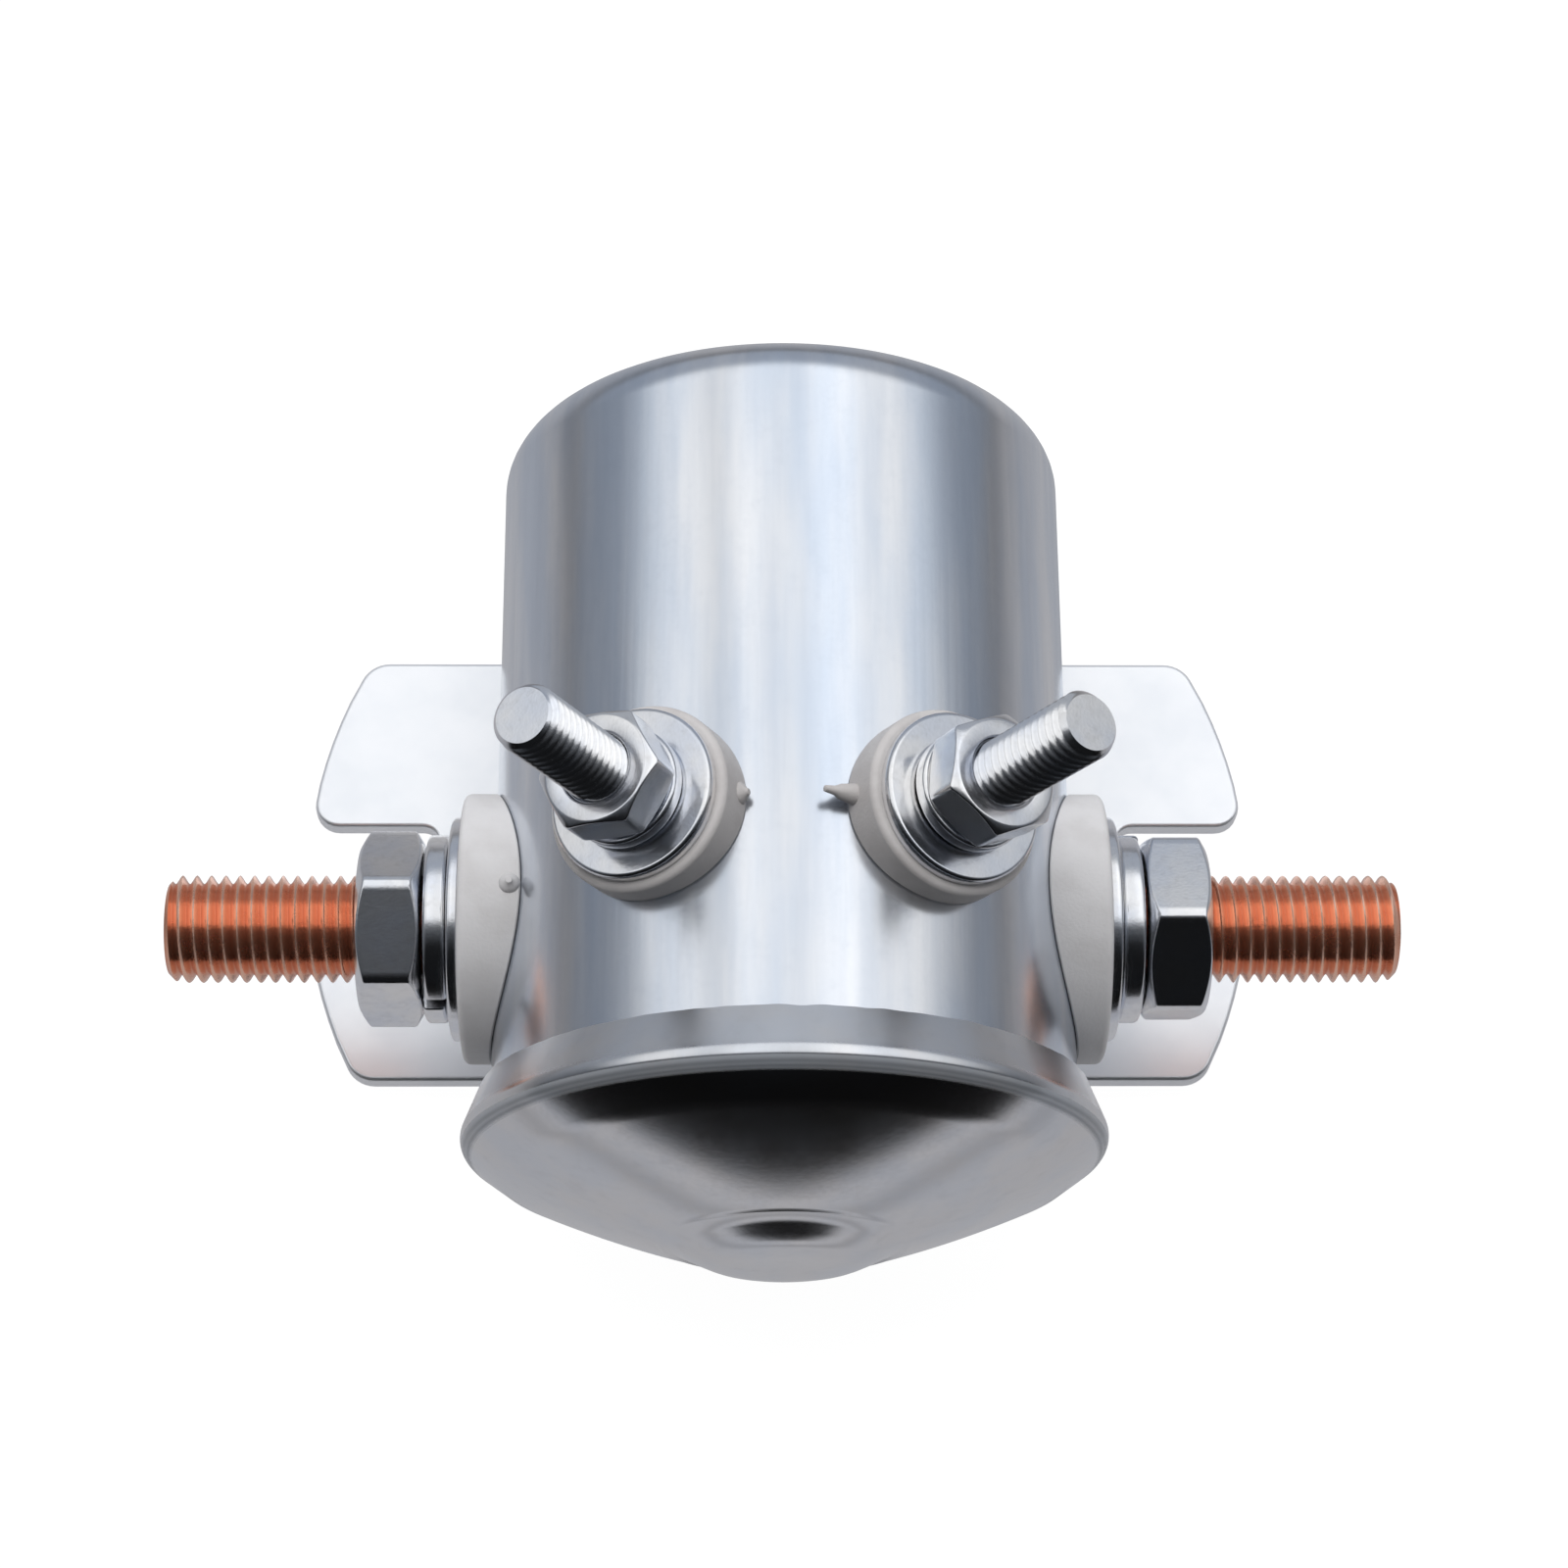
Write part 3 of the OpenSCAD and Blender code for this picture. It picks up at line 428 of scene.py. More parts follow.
def stacked(outlines):
    """A solid through (level, points) outlines of equal count, from the lowest to the highest."""
    bm = bmesh.new()
    rings = [[bm.verts.new((x, y, level)) for x, y in points] for level, points in outlines]
    for low, high in zip(rings, rings[1:]):
        for k in range(len(low)):
            j = (k + 1) % len(low)
            bm.faces.new((low[k], low[j], high[j], high[k]))
    bm.faces.new(rings[0][::-1])
    bm.faces.new(rings[-1])
    bmesh.ops.recalc_face_normals(bm, faces=bm.faces)
    return bm


def taken(mesh):
    """A mesh as something to work on; the mesh itself is removed."""
    bm = bmesh.new()
    bm.from_mesh(mesh)
    bpy.data.meshes.remove(mesh)
    return bm


def joined(*parts):
    """One mesh of several closed ones."""
    whole = bmesh.new()
    for part in parts:
        mesh = bpy.data.meshes.new("part")
        part.to_mesh(mesh)
        part.free()
        whole.from_mesh(mesh)
        bpy.data.meshes.remove(mesh)
    return whole


def moved(bm, matrix):
    bmesh.ops.transform(bm, matrix=matrix, verts=bm.verts)
    return bm


def softened(bm, width, limit=32.0, steps=2):
    """Rounds every edge sharper than the limit, in degrees, by the width."""
    edges = [e for e in bm.edges
             if len(e.link_faces) == 2 and e.calc_face_angle(0) > math.radians(limit)]
    bmesh.ops.bevel(bm, geom=edges, offset=width, offset_type="OFFSET", segments=steps,
                    profile=0.5, affect="EDGES", clamp_overlap=True)
    return bm


def placed(name, data):
    """A new object in the scene that has this mesh, lamp or lens."""
    thing = bpy.data.objects.new(name, data)
    bpy.context.scene.collection.objects.link(thing)
    return thing


def temporary(name, bm):
    mesh = bpy.data.meshes.new(name)
    bm.to_mesh(mesh)
    bm.free()
    return placed(name, mesh)


def evaluated(thing):
    """The thing's mesh with its modifiers applied; the thing itself is removed."""
    bpy.context.view_layer.update()
    shaped = thing.evaluated_get(bpy.context.evaluated_depsgraph_get())
    mesh = bpy.data.meshes.new_from_object(shaped)
    bpy.data.objects.remove(thing)
    return mesh


def cut(bm, cutters, operation="DIFFERENCE"):
    """The solid with other solids taken away from it, added to it or kept in common."""
    thing = temporary("work", bm)
    tools = [temporary("tool", tool) for tool in cutters]
    for tool in tools:
        change = thing.modifiers.new("change", "BOOLEAN")
        change.operation = operation
        change.solver = "EXACT"
        change.object = tool
    mesh = evaluated(thing)
    for tool in tools:
        bpy.data.objects.remove(tool)
    result = taken(mesh)
    bmesh.ops.remove_doubles(result, verts=result.verts, dist=1e-5)
    return result


def piece(name, bm, place, material, nodes, body="housing", sharp=38.0):
    """Puts a finished mesh in the row frame, in metres, to stand for these nodes of the part.
    Its edges stay crisp past the sharp angle, in degrees."""
    moved(bm, Matrix.Scale(MM, 4) @ place)
    thing = temporary(name, bm)
    mesh = thing.data
    mesh.shade_smooth()
    mesh.set_sharp_from_angle(angle=math.radians(sharp))
    thing.modifiers.new("even_normals", "WEIGHTED_NORMAL").keep_sharp = True
    mesh = evaluated(thing)
    mesh.name = name
    mesh.materials.clear()
    mesh.materials.append(material)
    thing = placed(name, mesh)
    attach(thing, body)
    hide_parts(*nodes)
    return thing


# ---- Geometry node trees for what repeats along a screw line ----

# The thread's form, in shares of half a pitch and of its depth: the flat crest, the flanks'
# steepness, and the root's level and rounding
CREST_FLAT, FLANK_SLOPE, ROOT_LEVEL, ROOT_ROUND = 0.08, 1.25, 0.98, 0.45
# Turns that the grid has beyond the rod, those of them that start below it, and the rows past
# an end that still follow the thread
SPARE_TURNS, TURNS_BELOW, ROWS_PAST = 3.0, 2.0, 1.5


def tree_with(name, sizes, counts):
    """An empty geometry tree with these named inputs and a material, and its input node."""
    tree = bpy.data.node_groups.new(name, "GeometryNodeTree")
    for label in sizes:
        tree.interface.new_socket(label, in_out="INPUT", socket_type="NodeSocketFloat")
    for label in counts:
        tree.interface.new_socket(label, in_out="INPUT", socket_type="NodeSocketInt")
    tree.interface.new_socket("Material", in_out="INPUT", socket_type="NodeSocketMaterial")
    tree.interface.new_socket("Geometry", in_out="OUTPUT", socket_type="NodeSocketGeometry")
    return tree, add(tree, "NodeGroupInput")


def close_tree(tree, shape, material):
    """Ends a tree: real geometry, its material, and out."""
    real = add(tree, "GeometryNodeRealizeInstances", {"Geometry": shape})[0]
    done = add(tree, "GeometryNodeSetMaterial", {"Geometry": real, "Material": material})[0]
    add(tree, "NodeGroupOutput", {"Geometry": done})
    return tree


def screw_thread_tree():
    """A solid rod with a rolled thread. Its grid is sheared along the screw line, so that every
    row of points follows the thread; rows past an end close it as a flat face."""
    sizes, counts = ["Crest radius", "Depth", "Pitch", "Length"], ["Rows a pitch", "Sides"]
    tree, get = tree_with("screw_thread", sizes, counts)
    spot = add(tree, "ShaderNodeSeparateXYZ", {0: add(tree, "GeometryNodeInputPosition")[0]})
    known = {name: get[name] for name in sizes + counts}
    known |= {"grid x": spot[0], "grid y": spot[1]}
    # Each row is a result's name, the sum that makes it, and what that takes
    sums = [
        # The grid's size
        ("turns", "DIVIDE", "Length", "Pitch"),
        ("turns", "CEIL", "turns"),
        ("turns", "ADD", "turns", SPARE_TURNS),
        ("rows", "MULTIPLY_ADD", "turns", "Rows a pitch", 1.0),
        ("columns", "ADD", "Sides", 1.0),
        # Each point's share of a turn, its turn and its height along the rod
        ("share", "ADD", "grid x", 0.5),
        ("turn", "ADD", "grid y", 0.5),
        ("turn", "MULTIPLY", "turn", "turns"),
        ("height", "SUBTRACT", "turn", TURNS_BELOW),
        ("height", "ADD", "height", "share"),
        ("height", "MULTIPLY", "height", "Pitch"),
        # The thread's radius there
        ("sunk", "PINGPONG", "turn", 0.5),
        ("sunk", "MULTIPLY_ADD", "sunk", 2.0, -CREST_FLAT),
        ("sunk", "MAXIMUM", "sunk", 0.0),
        ("sunk", "MULTIPLY", "sunk", FLANK_SLOPE),
        ("sunk", "SMOOTH_MIN", "sunk", ROOT_LEVEL, ROOT_ROUND),
        ("sunk", "MULTIPLY", "sunk", "Depth"),
        ("radius", "SUBTRACT", "Crest radius", "sunk"),
        # The ends: past them the radius is nothing and the height stops
        ("past", "DIVIDE", "Pitch", "Rows a pitch"),
        ("past", "MULTIPLY", "past", ROWS_PAST),
        ("top", "ADD", "Length", "past"),
        ("foot", "MULTIPLY", "past", -1.0),
        ("under top", "LESS_THAN", "height", "top"),
        ("over foot", "GREATER_THAN", "height", "foot"),
        ("radius", "MULTIPLY", "radius", "under top"),
        ("radius", "MULTIPLY", "radius", "over foot"),
        ("level", "MAXIMUM", "height", 0.0),
        ("level", "MINIMUM", "level", "Length"),
        # The point's place
        ("angle", "MULTIPLY", "share", math.tau),
        ("x", "COSINE", "angle"),
        ("x", "MULTIPLY", "radius", "x"),
        ("y", "SINE", "angle"),
        ("y", "MULTIPLY", "radius", "y"),
    ]
    for name, operation, *takes in sums:
        values = {i: known.get(take, take) for i, take in enumerate(takes)}
        known[name] = add(tree, "ShaderNodeMath", values, operation=operation)[0]
    grid = add(tree, "GeometryNodeMeshGrid", {
        "Size X": 1.0, "Size Y": 1.0, "Vertices X": known["columns"],
        "Vertices Y": known["rows"]})[0]
    spot = add(tree, "ShaderNodeCombineXYZ", {0: known["x"], 1: known["y"], 2: known["level"]})[0]
    rod = add(tree, "GeometryNodeSetPosition", {"Geometry": grid, "Position": spot})[0]
    rod = add(tree, "GeometryNodeMergeByDistance", {"Geometry": rod, "Distance": 0.002})[0]
    return close_tree(tree, rod, get["Material"])


def wound_wire_tree():
    """A round wire along a screw line, with flat ends."""
    tree, get = tree_with("wound_wire", ["Coil radius", "Wire radius", "Height", "Turns"],
                          ["Rings a turn", "Wire sides"])
    line = add(tree, "GeometryNodeCurveSpiral", {
        "Resolution": get["Rings a turn"], "Rotations": get["Turns"],
        "Start Radius": get["Coil radius"], "End Radius": get["Coil radius"],
        "Height": get["Height"]})[0]
    wire = add(tree, "GeometryNodeCurvePrimitiveCircle", {
        "Resolution": get["Wire sides"], "Radius": get["Wire radius"]})[0]
    wound = add(tree, "GeometryNodeCurveToMesh", {
        "Curve": line, "Profile Curve": wire, "Fill Caps": True})[0]
    return close_tree(tree, wound, get["Material"])


THREAD_TREE = screw_thread_tree()
WIRE_TREE = wound_wire_tree()


def grown(tree, values):
    """The mesh that a tree makes with these values for its named inputs."""
    thing = placed("grown", bpy.data.meshes.new("grown"))
    growth = thing.modifiers.new("growth", "NODES")
    growth.node_group = tree
    for item in tree.interface.items_tree:
        if item.in_out == "INPUT":
            growth[item.identifier] = values[item.name]
    bm = taken(evaluated(thing))
    bmesh.ops.dissolve_degenerate(bm, dist=1e-4, edges=bm.edges)
    bmesh.ops.recalc_face_normals(bm, faces=bm.faces)
    return bm


# ---- The can ----


def can_profile():
    """The drawn wall in half section: outside from the closed end to the mouth, and back
    inside."""
    centre = (CAN_R - CAN_EDGE_R, CAN_LEN - CAN_EDGE_R)
    sides = []
    for inset in (0.0, CAN_WALL):
        wall_r = CAN_R - inset
        sides.append([(0.0, CAN_LEN - inset)]
                     + arc(centre, CAN_EDGE_R - inset, math.pi / 2, 0, 12)
                     + [(wall_r, FLARE_LEN), (wall_r + FLARE_OUT, FLARE_END)])
    return sides[0] + sides[1][::-1]


def bush_hole(kind, turn):
    into_can = CAN_FRAME.inverted() @ terminal_frame(turn, kind["level"])
    return moved(turned_bar(kind["bush_r"] + SEAT_GAP, 0, CAN_R + DRILL_PAST, 64), into_can)


can = cut(lathe(can_profile(), 192),
          [bush_hole(kind, turn) for kind, turn, *_ in TERMINALS.values()])
piece("drawn_can", can, CAN_FRAME, CAN_ZINC, ["can"])


# ---- The end cap ----


def touch(point, centre, r, side):
    """The angle round centre at which a straight line from point touches the circle."""
    v = Vector(point) - Vector(centre)
    return math.atan2(v.y, v.x) + side * math.acos(r / v.length)


def cap_outside():
    """The part's cap outside in half section: band, fold, shoulder, bowed cone, lip and
    dimple."""
    fold, start = (FOLD_X, FOLD_LEVEL), (CAN_R + 2 * SEAT_GAP, FLARE_LEN)
    top, foot = Vector((SHOULDER_X, SHOULDER_LEVEL)), Vector((BOSS_R, SHOULDER_LEVEL - CONE_DROP))
    lip, dimple = (DIMPLE_R + BOSS_LIP_R, BOSS_END + BOSS_LIP_R), (DIMPLE_FLOOR_R, DIMPLE_TOP)
    band = touch(start, fold, FOLD_R - CAP_WALL, -1)
    points = [(start[0] + CAP_WALL * math.cos(band), start[1] + CAP_WALL * math.sin(band))]
    points += arc(fold, FOLD_R, band, touch(top, fold, FOLD_R, 1), 14)
    run = foot - top
    side = Vector((-run.y, run.x)).normalized()
    for k in range(13):
        t = k / 12
        p = top + run * t + side * (4 * t * (1 - t) * CONE_BOW)
        points.append((p.x, p.y))
    points += arc(lip, BOSS_LIP_R, touch(foot, lip, BOSS_LIP_R, -1),
                  touch(dimple, lip, BOSS_LIP_R, 1) - math.tau, 12)
    return points + [dimple, (0.0, DIMPLE_TOP)]


def end_cap():
    """Inside, the part's own form. Outside, as the photograph shows it: the same band, fold and
    cone, but a fine groove, and a low boss that turns over into a faint dish."""
    outside = [p for p in cap_outside() if p[0] > GROOVE_R] + BOSS_FACE
    profile = outside + beside(cap_outside(), -CAP_WALL)[::-1]
    last = len(profile) - 1

    def sheared_edge(i, a, r, z):
        """The trimmed edge of the band isn't straight: it waves and has small tears."""
        if i not in (0, last):
            return r, z
        way = Vector((math.cos(a), math.sin(a), 0.0))
        waves = sum(noise.noise(way * count) for count in TRIM_WAVES)
        tears = max(0.0, noise.noise(way * TRIM_TEARS) - TRIM_TEAR_FROM)
        return r, z + TRIM_WAVE * waves - TRIM_TEAR * tears

    return lathe(profile, 384, shift=sheared_edge)


piece("crimped_cap", end_cap(), CAN_FRAME, CAP_ZINC, ["end_cap"], sharp=50.0)


# ---- The bracket ----


def bracket_outline():
    """One ear's upper half, mirrored to the left and then down."""
    plate_r, half_slot, half_h = PLATE_W / 2, SLOT_W / 2, PLATE_H / 2
    mouth, edge = math.asin(half_slot / plate_r), math.asin(half_h / plate_r)
    ends = arc((0, 0), plate_r, mouth, edge, 8)
    ear = [(SLOT_END, half_slot, SLOT_END_R), (*ends[0], SLOT_MOUTH_R)]
    ear += [(*p, 0) for p in ends[2:7]]
    ear += [(*ends[8], PLATE_CORNER_R)]
    back = [(-x, y, r) for x, y, r in ear[::-1]]
    lower = [(x, -y, r) for x, y, r in (ear + back)[::-1]]
    return rounded_outline(ear + back + lower, steps=7)


def stamped_plate():
    """Flat sheet whose front edge is drawn round by the die and whose back edge is square."""
    outline = bracket_outline()
    closed = [outline[-1]] + outline + [outline[0]]
    layers = [(0.0, BACK_EDGE), (BACK_EDGE, 0.0)]
    for k in range(5):
        a = math.radians(90 * k / 4)
        layers.append((PLATE_T - FRONT_ROUND * (1 - math.sin(a)),
                       FRONT_ROUND * (1 - math.cos(a))))
    return stacked([(level, beside(closed, inset)[1:-1]) for level, inset in layers])


def seat_on_can(r, a):
    return math.sqrt((CAN_R + SEAT_GAP) ** 2 - (r * math.cos(a)) ** 2)


def weld_pad():
    """A projection that the can is welded to; its top follows the can."""
    foot = PLATE_T - PAD_SINK
    profile = [(0.0, foot), (PAD_R, foot)]
    profile += [(PAD_R * share, PAD_TALL) for share in (1.0, 0.66, 0.33, 0.0)]

    def follow_can(i, a, r, z):
        return r, (z if z < PAD_TALL else AXIS_H - seat_on_can(r, a))

    return lathe(profile, 48, shift=follow_can)


def back_dimple():
    profile = [(0, -1), (PAD_R, -1), (PAD_R * EMBOSS_FOOT, 0),
               (PAD_R * EMBOSS_FLOOR, EMBOSS_DEPTH), (0, EMBOSS_DEPTH)]
    return lathe(profile, 48)


pads = [Matrix.Translation((0, side * PAD_PITCH / 2, 0)) for side in (-1, 1)]
bracket = cut(stamped_plate(), [moved(weld_pad(), pad) for pad in pads], "UNION")
bracket = cut(bracket, [moved(back_dimple(), pad) for pad in pads])
piece("slotted_bracket", bracket, Matrix.Identity(4), PLATE_ZINC, ["mounting_bracket"],
      sharp=30.0)


# ---- The terminals ----

# A nut's bearing face and trimmed corners as shares of its radii, its chamfer in degrees, and
# its lead and edge rounding as shares of its width
NUT_FACE, NUT_CORNER, NUT_SLOPE, NUT_LEAD, NUT_ROUND = 0.95, 0.985, 30, 0.3 / 12, 0.14 / 12
# A split washer's edge rounding as a share of its thickness, the bore's share of that, how far
# its faces are drawn in at bore and rim, and how far its ends stand apart
LOCK_ROUND, LOCK_BORE, LOCK_INSET, LOCK_RIM_INSET, LOCK_RISE = 0.175, 0.6, 0.12, 0.192, 0.168
# An insulator's edge radius, and how far its moulded foot stands back from rim and can
INS_EDGE, FOOT_BACK, FOOT_LIFT = 0.5, 0.12, 0.15
# A moulding nub: its radius and room over the can, and its form as shares of radius and reach
NUB_R, NUB_ROOM = 0.75, 0.1
NUB_FORM = [(1.02, 0.0), (0.72, 0.45), (0.45, 0.62), (0.3, 0.95), (0.0, 1.0)]
# A power stud's square head: half its width, its thickness, the share that its trimmed
# corners keep of the diagonal, and its edge rounding
HEAD_HALF, HEAD_T, HEAD_CORNER, HEAD_ROUND = 6.25, 7.5, 0.66, 0.3
# A coil stud's round head: radius, thickness and broken edge, and the lead's ring over it
COIL_HEAD_R, COIL_HEAD_T, COIL_HEAD_EDGE, LEAD_RING_T = 4.0, 3.0, 0.3, 1.15
# A thread's depth in pitches, how far below the insulator's face it starts and the neck ends,
# and how far it is rolled past the tip
THREAD_DEPTH, THREAD_START, NECK_STOP, THREAD_SPARE = 0.62, 0.5, 0.2, 1.0


def hex_nut(kind, turn):
    """A hexagon whose corners are trimmed by a chamfer cone at both faces, with a lead into its
    bore."""
    flat_r, t = kind["nut_af"] / 2, kind["nut_out"] - kind["nut_in"]
    corner_r = flat_r / math.cos(math.radians(30)) * NUT_CORNER
    face_r = flat_r * NUT_FACE
    bore_r, lead = kind["stud_r"] + BORE_PLAY, NUT_LEAD * kind["nut_af"]
    # Points 3 and 4 stand for the hexagon's edges, and get their place below
    profile = [(bore_r, lead), (bore_r + lead, 0), (face_r, 0), (1, 1), (1, 2), (face_r, t),
               (bore_r + lead, t), (bore_r, t - lead)]

    def to_hexagon(i, a, r, z):
        if i not in (3, 4):
            return r, z
        side = (math.degrees(a) - turn) % 60 - 30
        r = min(flat_r / math.cos(math.radians(side)), corner_r)
        drop = max(0.02, (r - face_r) * math.tan(math.radians(NUT_SLOPE)))
        return r, (drop if i == 3 else t - drop)

    bm = softened(lathe(profile, 144, shift=to_hexagon, start=turn), NUT_ROUND * kind["nut_af"],
                  limit=28)
    return moved(bm, Matrix.Translation((0, 0, kind["nut_in"])))


def flat_washer(kind):
    """Punched from sheet: rounded on the die side, nearly sharp on the other."""
    z0, z1, r0, r1 = kind["face"], kind["lock_in"], kind["stud_r"] + BORE_PLAY, kind["washer_r"]
    corners = [(r0, z0, 0.1), (r1, z0, 0.15), (r1, z1, 0.32), (r0, z1, 0.2)]
    return lathe(rounded_outline(corners, steps=4), 128)


def lock_washer(kind, turn):
    """Coiled from flat wire and cut through, its ends a little apart along the stud."""
    z0, z1 = kind["lock_in"], kind["nut_in"]
    r0, r1 = kind["stud_r"] + kind["lock_gap"], kind["lock_r"]
    round_r = LOCK_ROUND * (z1 - z0)
    corners = [(r0, z0 + LOCK_INSET, round_r * LOCK_BORE), (r1, z0 + LOCK_RIM_INSET, round_r),
               (r1, z1 - LOCK_RIM_INSET, round_r), (r0, z1 - LOCK_INSET, round_r * LOCK_BORE)]
    gap = math.degrees(kind["split"] / r1)
    bm = lathe(rounded_outline(corners, steps=4), 96, start=turn + gap / 2, sweep=360 - gap,
               rise=LOCK_RISE)
    return softened(bm, 0.08, limit=60, steps=1)


def outer_insulator(kind, nub):
    """A disc whose inner side is a saddle on the can, and the moulding nub on its rim."""
    r0, r1, face = kind["bush_r"] + SEAT_GAP, kind["ins_r"], kind["face"]
    edge = arc((r1 - INS_EDGE, face - INS_EDGE), INS_EDGE, math.pi / 2, 0, 4)
    # The foot is marked by level -1 and the saddle by 0, and both get their place below
    seat = [(r1 - FOOT_BACK, 0.0)] + [(r1 + (r0 - r1) * k / 5, 0.0) for k in range(1, 6)]

    def follow_can(i, a, r, z):
        if z > 1:
            return r, z
        return r, seat_on_can(r, a) + (FOOT_LIFT if z < 0 else 0.0)

    disc = lathe([(r0, face)] + edge + [(r1, -1.0)] + seat, 144, shift=follow_can)
    turn, reach = nub
    stem = lathe([(0, -1.0), (NUB_R, -1.0)] + [(NUB_R * s, reach * h) for s, h in NUB_FORM], 24)
    level = math.sqrt(CAN_R**2 - r1**2) + NUB_R + SEAT_GAP + NUB_ROOM
    on_rim = turned(turn, "Z") @ Matrix.Translation((r1, 0, level)) @ turned(90, "Y")
    return joined(disc, moved(stem, on_rim))


def plain_neck(kind, start, steps):
    return turned_bar(kind["stud_r"] - BORE_PLAY, start, kind["face"] - NECK_STOP, steps)


def threaded_rod(kind, rows, sides, material):
    """The thread, rolled past the tip and cut off there with a turned chamfer."""
    start = kind["face"] - THREAD_START
    length, chamfer = kind["tip"] - start, kind["chamfer"]
    rod = grown(THREAD_TREE, {
        "Crest radius": kind["stud_r"], "Depth": THREAD_DEPTH * kind["pitch"],
        "Pitch": kind["pitch"], "Length": length + THREAD_SPARE, "Rows a pitch": rows,
        "Sides": sides, "Material": material})
    r = kind["stud_r"] + THREAD_SPARE
    blank = lathe([(0, -THREAD_SPARE), (r, -THREAD_SPARE), (r, length - chamfer - THREAD_SPARE),
                   (kind["stud_r"] - chamfer, length), (0, length)], 96)
    return moved(cut(rod, [blank], "INTERSECT"), Matrix.Translation((0, 0, start)))


def power_stud():
    """A square contact head with trimmed corners, a plain neck and a rolled thread."""
    half, head_out = HEAD_HALF, POWER["flange_in"]
    head_in = head_out - HEAD_T
    trimmed = half * (2 * math.sqrt(2) * HEAD_CORNER - 1)
    outline = [(half, trimmed), (trimmed, half), (-trimmed, half), (-half, trimmed),
               (-half, -trimmed), (-trimmed, -half), (trimmed, -half), (half, -trimmed)]
    head = softened(stacked([(head_in, outline), (head_out, outline)]), HEAD_ROUND)
    return joined(head, plain_neck(POWER, head_in + 3, 64), threaded_rod(POWER, 12, 72, COPPER))


def coil_stud():
    """A round head under the lead's ring, a plain neck and a rolled thread."""
    r, head_out = COIL_HEAD_R, COIL["flange_in"] - LEAD_RING_T
    head_in = head_out - COIL_HEAD_T
    head = lathe([(0, head_in), (r - COIL_HEAD_EDGE, head_in), (r, head_in + COIL_HEAD_EDGE),
                  (r, head_out), (0, head_out)], 64)
    return joined(head, plain_neck(COIL, head_out - 1, 48),
                  threaded_rod(COIL, 10, 56, HARDWARE_ZINC))


# A group's stud: function, material, slot and sharp angle; and its insulators' material
GROUPS = {
    "power": (power_stud, COPPER, "stud_copper", 35.0, GREY_MOULDING),
    "coil": (coil_stud, HARDWARE_ZINC, "zinc_fastener", 25.0, SHADED_GREY_MOULDING),
}
for side, (kind, turn, nut_turn, split_turn, nub) in TERMINALS.items():
    group, hand = side.split("_")
    stud, stuff, stud_slot, stud_sharp, insulation = GROUPS[group]
    stack = [
        ("threaded_stud", stud(), stuff, "stud", stud_slot, stud_sharp),
        ("saddle_insulator", outer_insulator(kind, nub), insulation, "insulator",
         "insulator_grey", 38.0),
        ("flat_washer", flat_washer(kind), HARDWARE_ZINC, "washer", "zinc_fastener", 38.0),
        ("split_washer", lock_washer(kind, split_turn), HARDWARE_ZINC, "lock_washer",
         "zinc_fastener", 38.0),
        ("hex_nut", hex_nut(kind, nut_turn), HARDWARE_ZINC, "nut", "zinc_fastener", 30.0),
    ]
    place = terminal_frame(turn, kind["level"])
    for name, bm, material, node, slot, sharp in stack:
        piece(f"{group}_{name}_{hand}", bm, place, material, [f"{group}_{node}_{hand}"],
              sharp=sharp)


# ---- Springs and winding ----

# The bare wire's radius in the winding, the tube that stands for its inner turns, and how far
# that tube stays inside the outer turns, in wire radii
WINDING_WIRE_R, INNER_TURNS_R, TURNS_SHOWN = 0.3, 7.7, 1.4


def wound(radius, wire_r, height, turns, rings, sides, material):
    return grown(WIRE_TREE, {"Coil radius": radius, "Wire radius": wire_r, "Height": height,
                             "Turns": float(turns), "Rings a turn": rings, "Wire sides": sides,
                             "Material": material})


def round_box(node):
    """The outer radius of a round node, and its lowest and highest level in the can's frame."""
    low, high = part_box(node)
    return (high.x - low.x) / 2 / MM, low.y / MM + PLATE_CENTRE, high.y / MM + PLATE_CENTRE


def spring(name, node, wire, turns):
    """A coil spring on the can's axis, on the plunger's body and with a mesh of its own."""
    outer_r, z0, z1 = round_box(node)
    bm = wound(outer_r - wire / 2, wire / 2, z1 - z0 - wire, turns, 32, 12, SPRING_STEEL)
    moved(bm, Matrix.Translation((0, 0, z0 + wire / 2)))
    coil = piece(name, bm, CAN_FRAME, SPRING_STEEL, [node], body="plunger")
    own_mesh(coil)


spring("plunger_return_spring", "return_spring", 0.7, 8)
spring("disc_overtravel_spring", "overtravel_spring", 0.8, 5)

winding_r, z0, z1 = round_box("coil_winding")
wire_r = WINDING_WIRE_R
outer_turns = wound(winding_r - wire_r, wire_r, z1 - z0 - 2 * wire_r,
                    math.floor((z1 - z0) / (2 * wire_r)) - 1, 40, 8, ENAMELLED_WIRE)
moved(outer_turns, Matrix.Translation((0, 0, z0 + wire_r)))
inner_turns = turned_bar(winding_r - TURNS_SHOWN * wire_r, z0, z1, 96, bore=INNER_TURNS_R)
piece("wound_coil", joined(inner_turns, outer_turns), CAN_FRAME, ENAMELLED_WIRE,
      ["coil_winding"])


# ---- Materials of the nodes that stay as they are ----

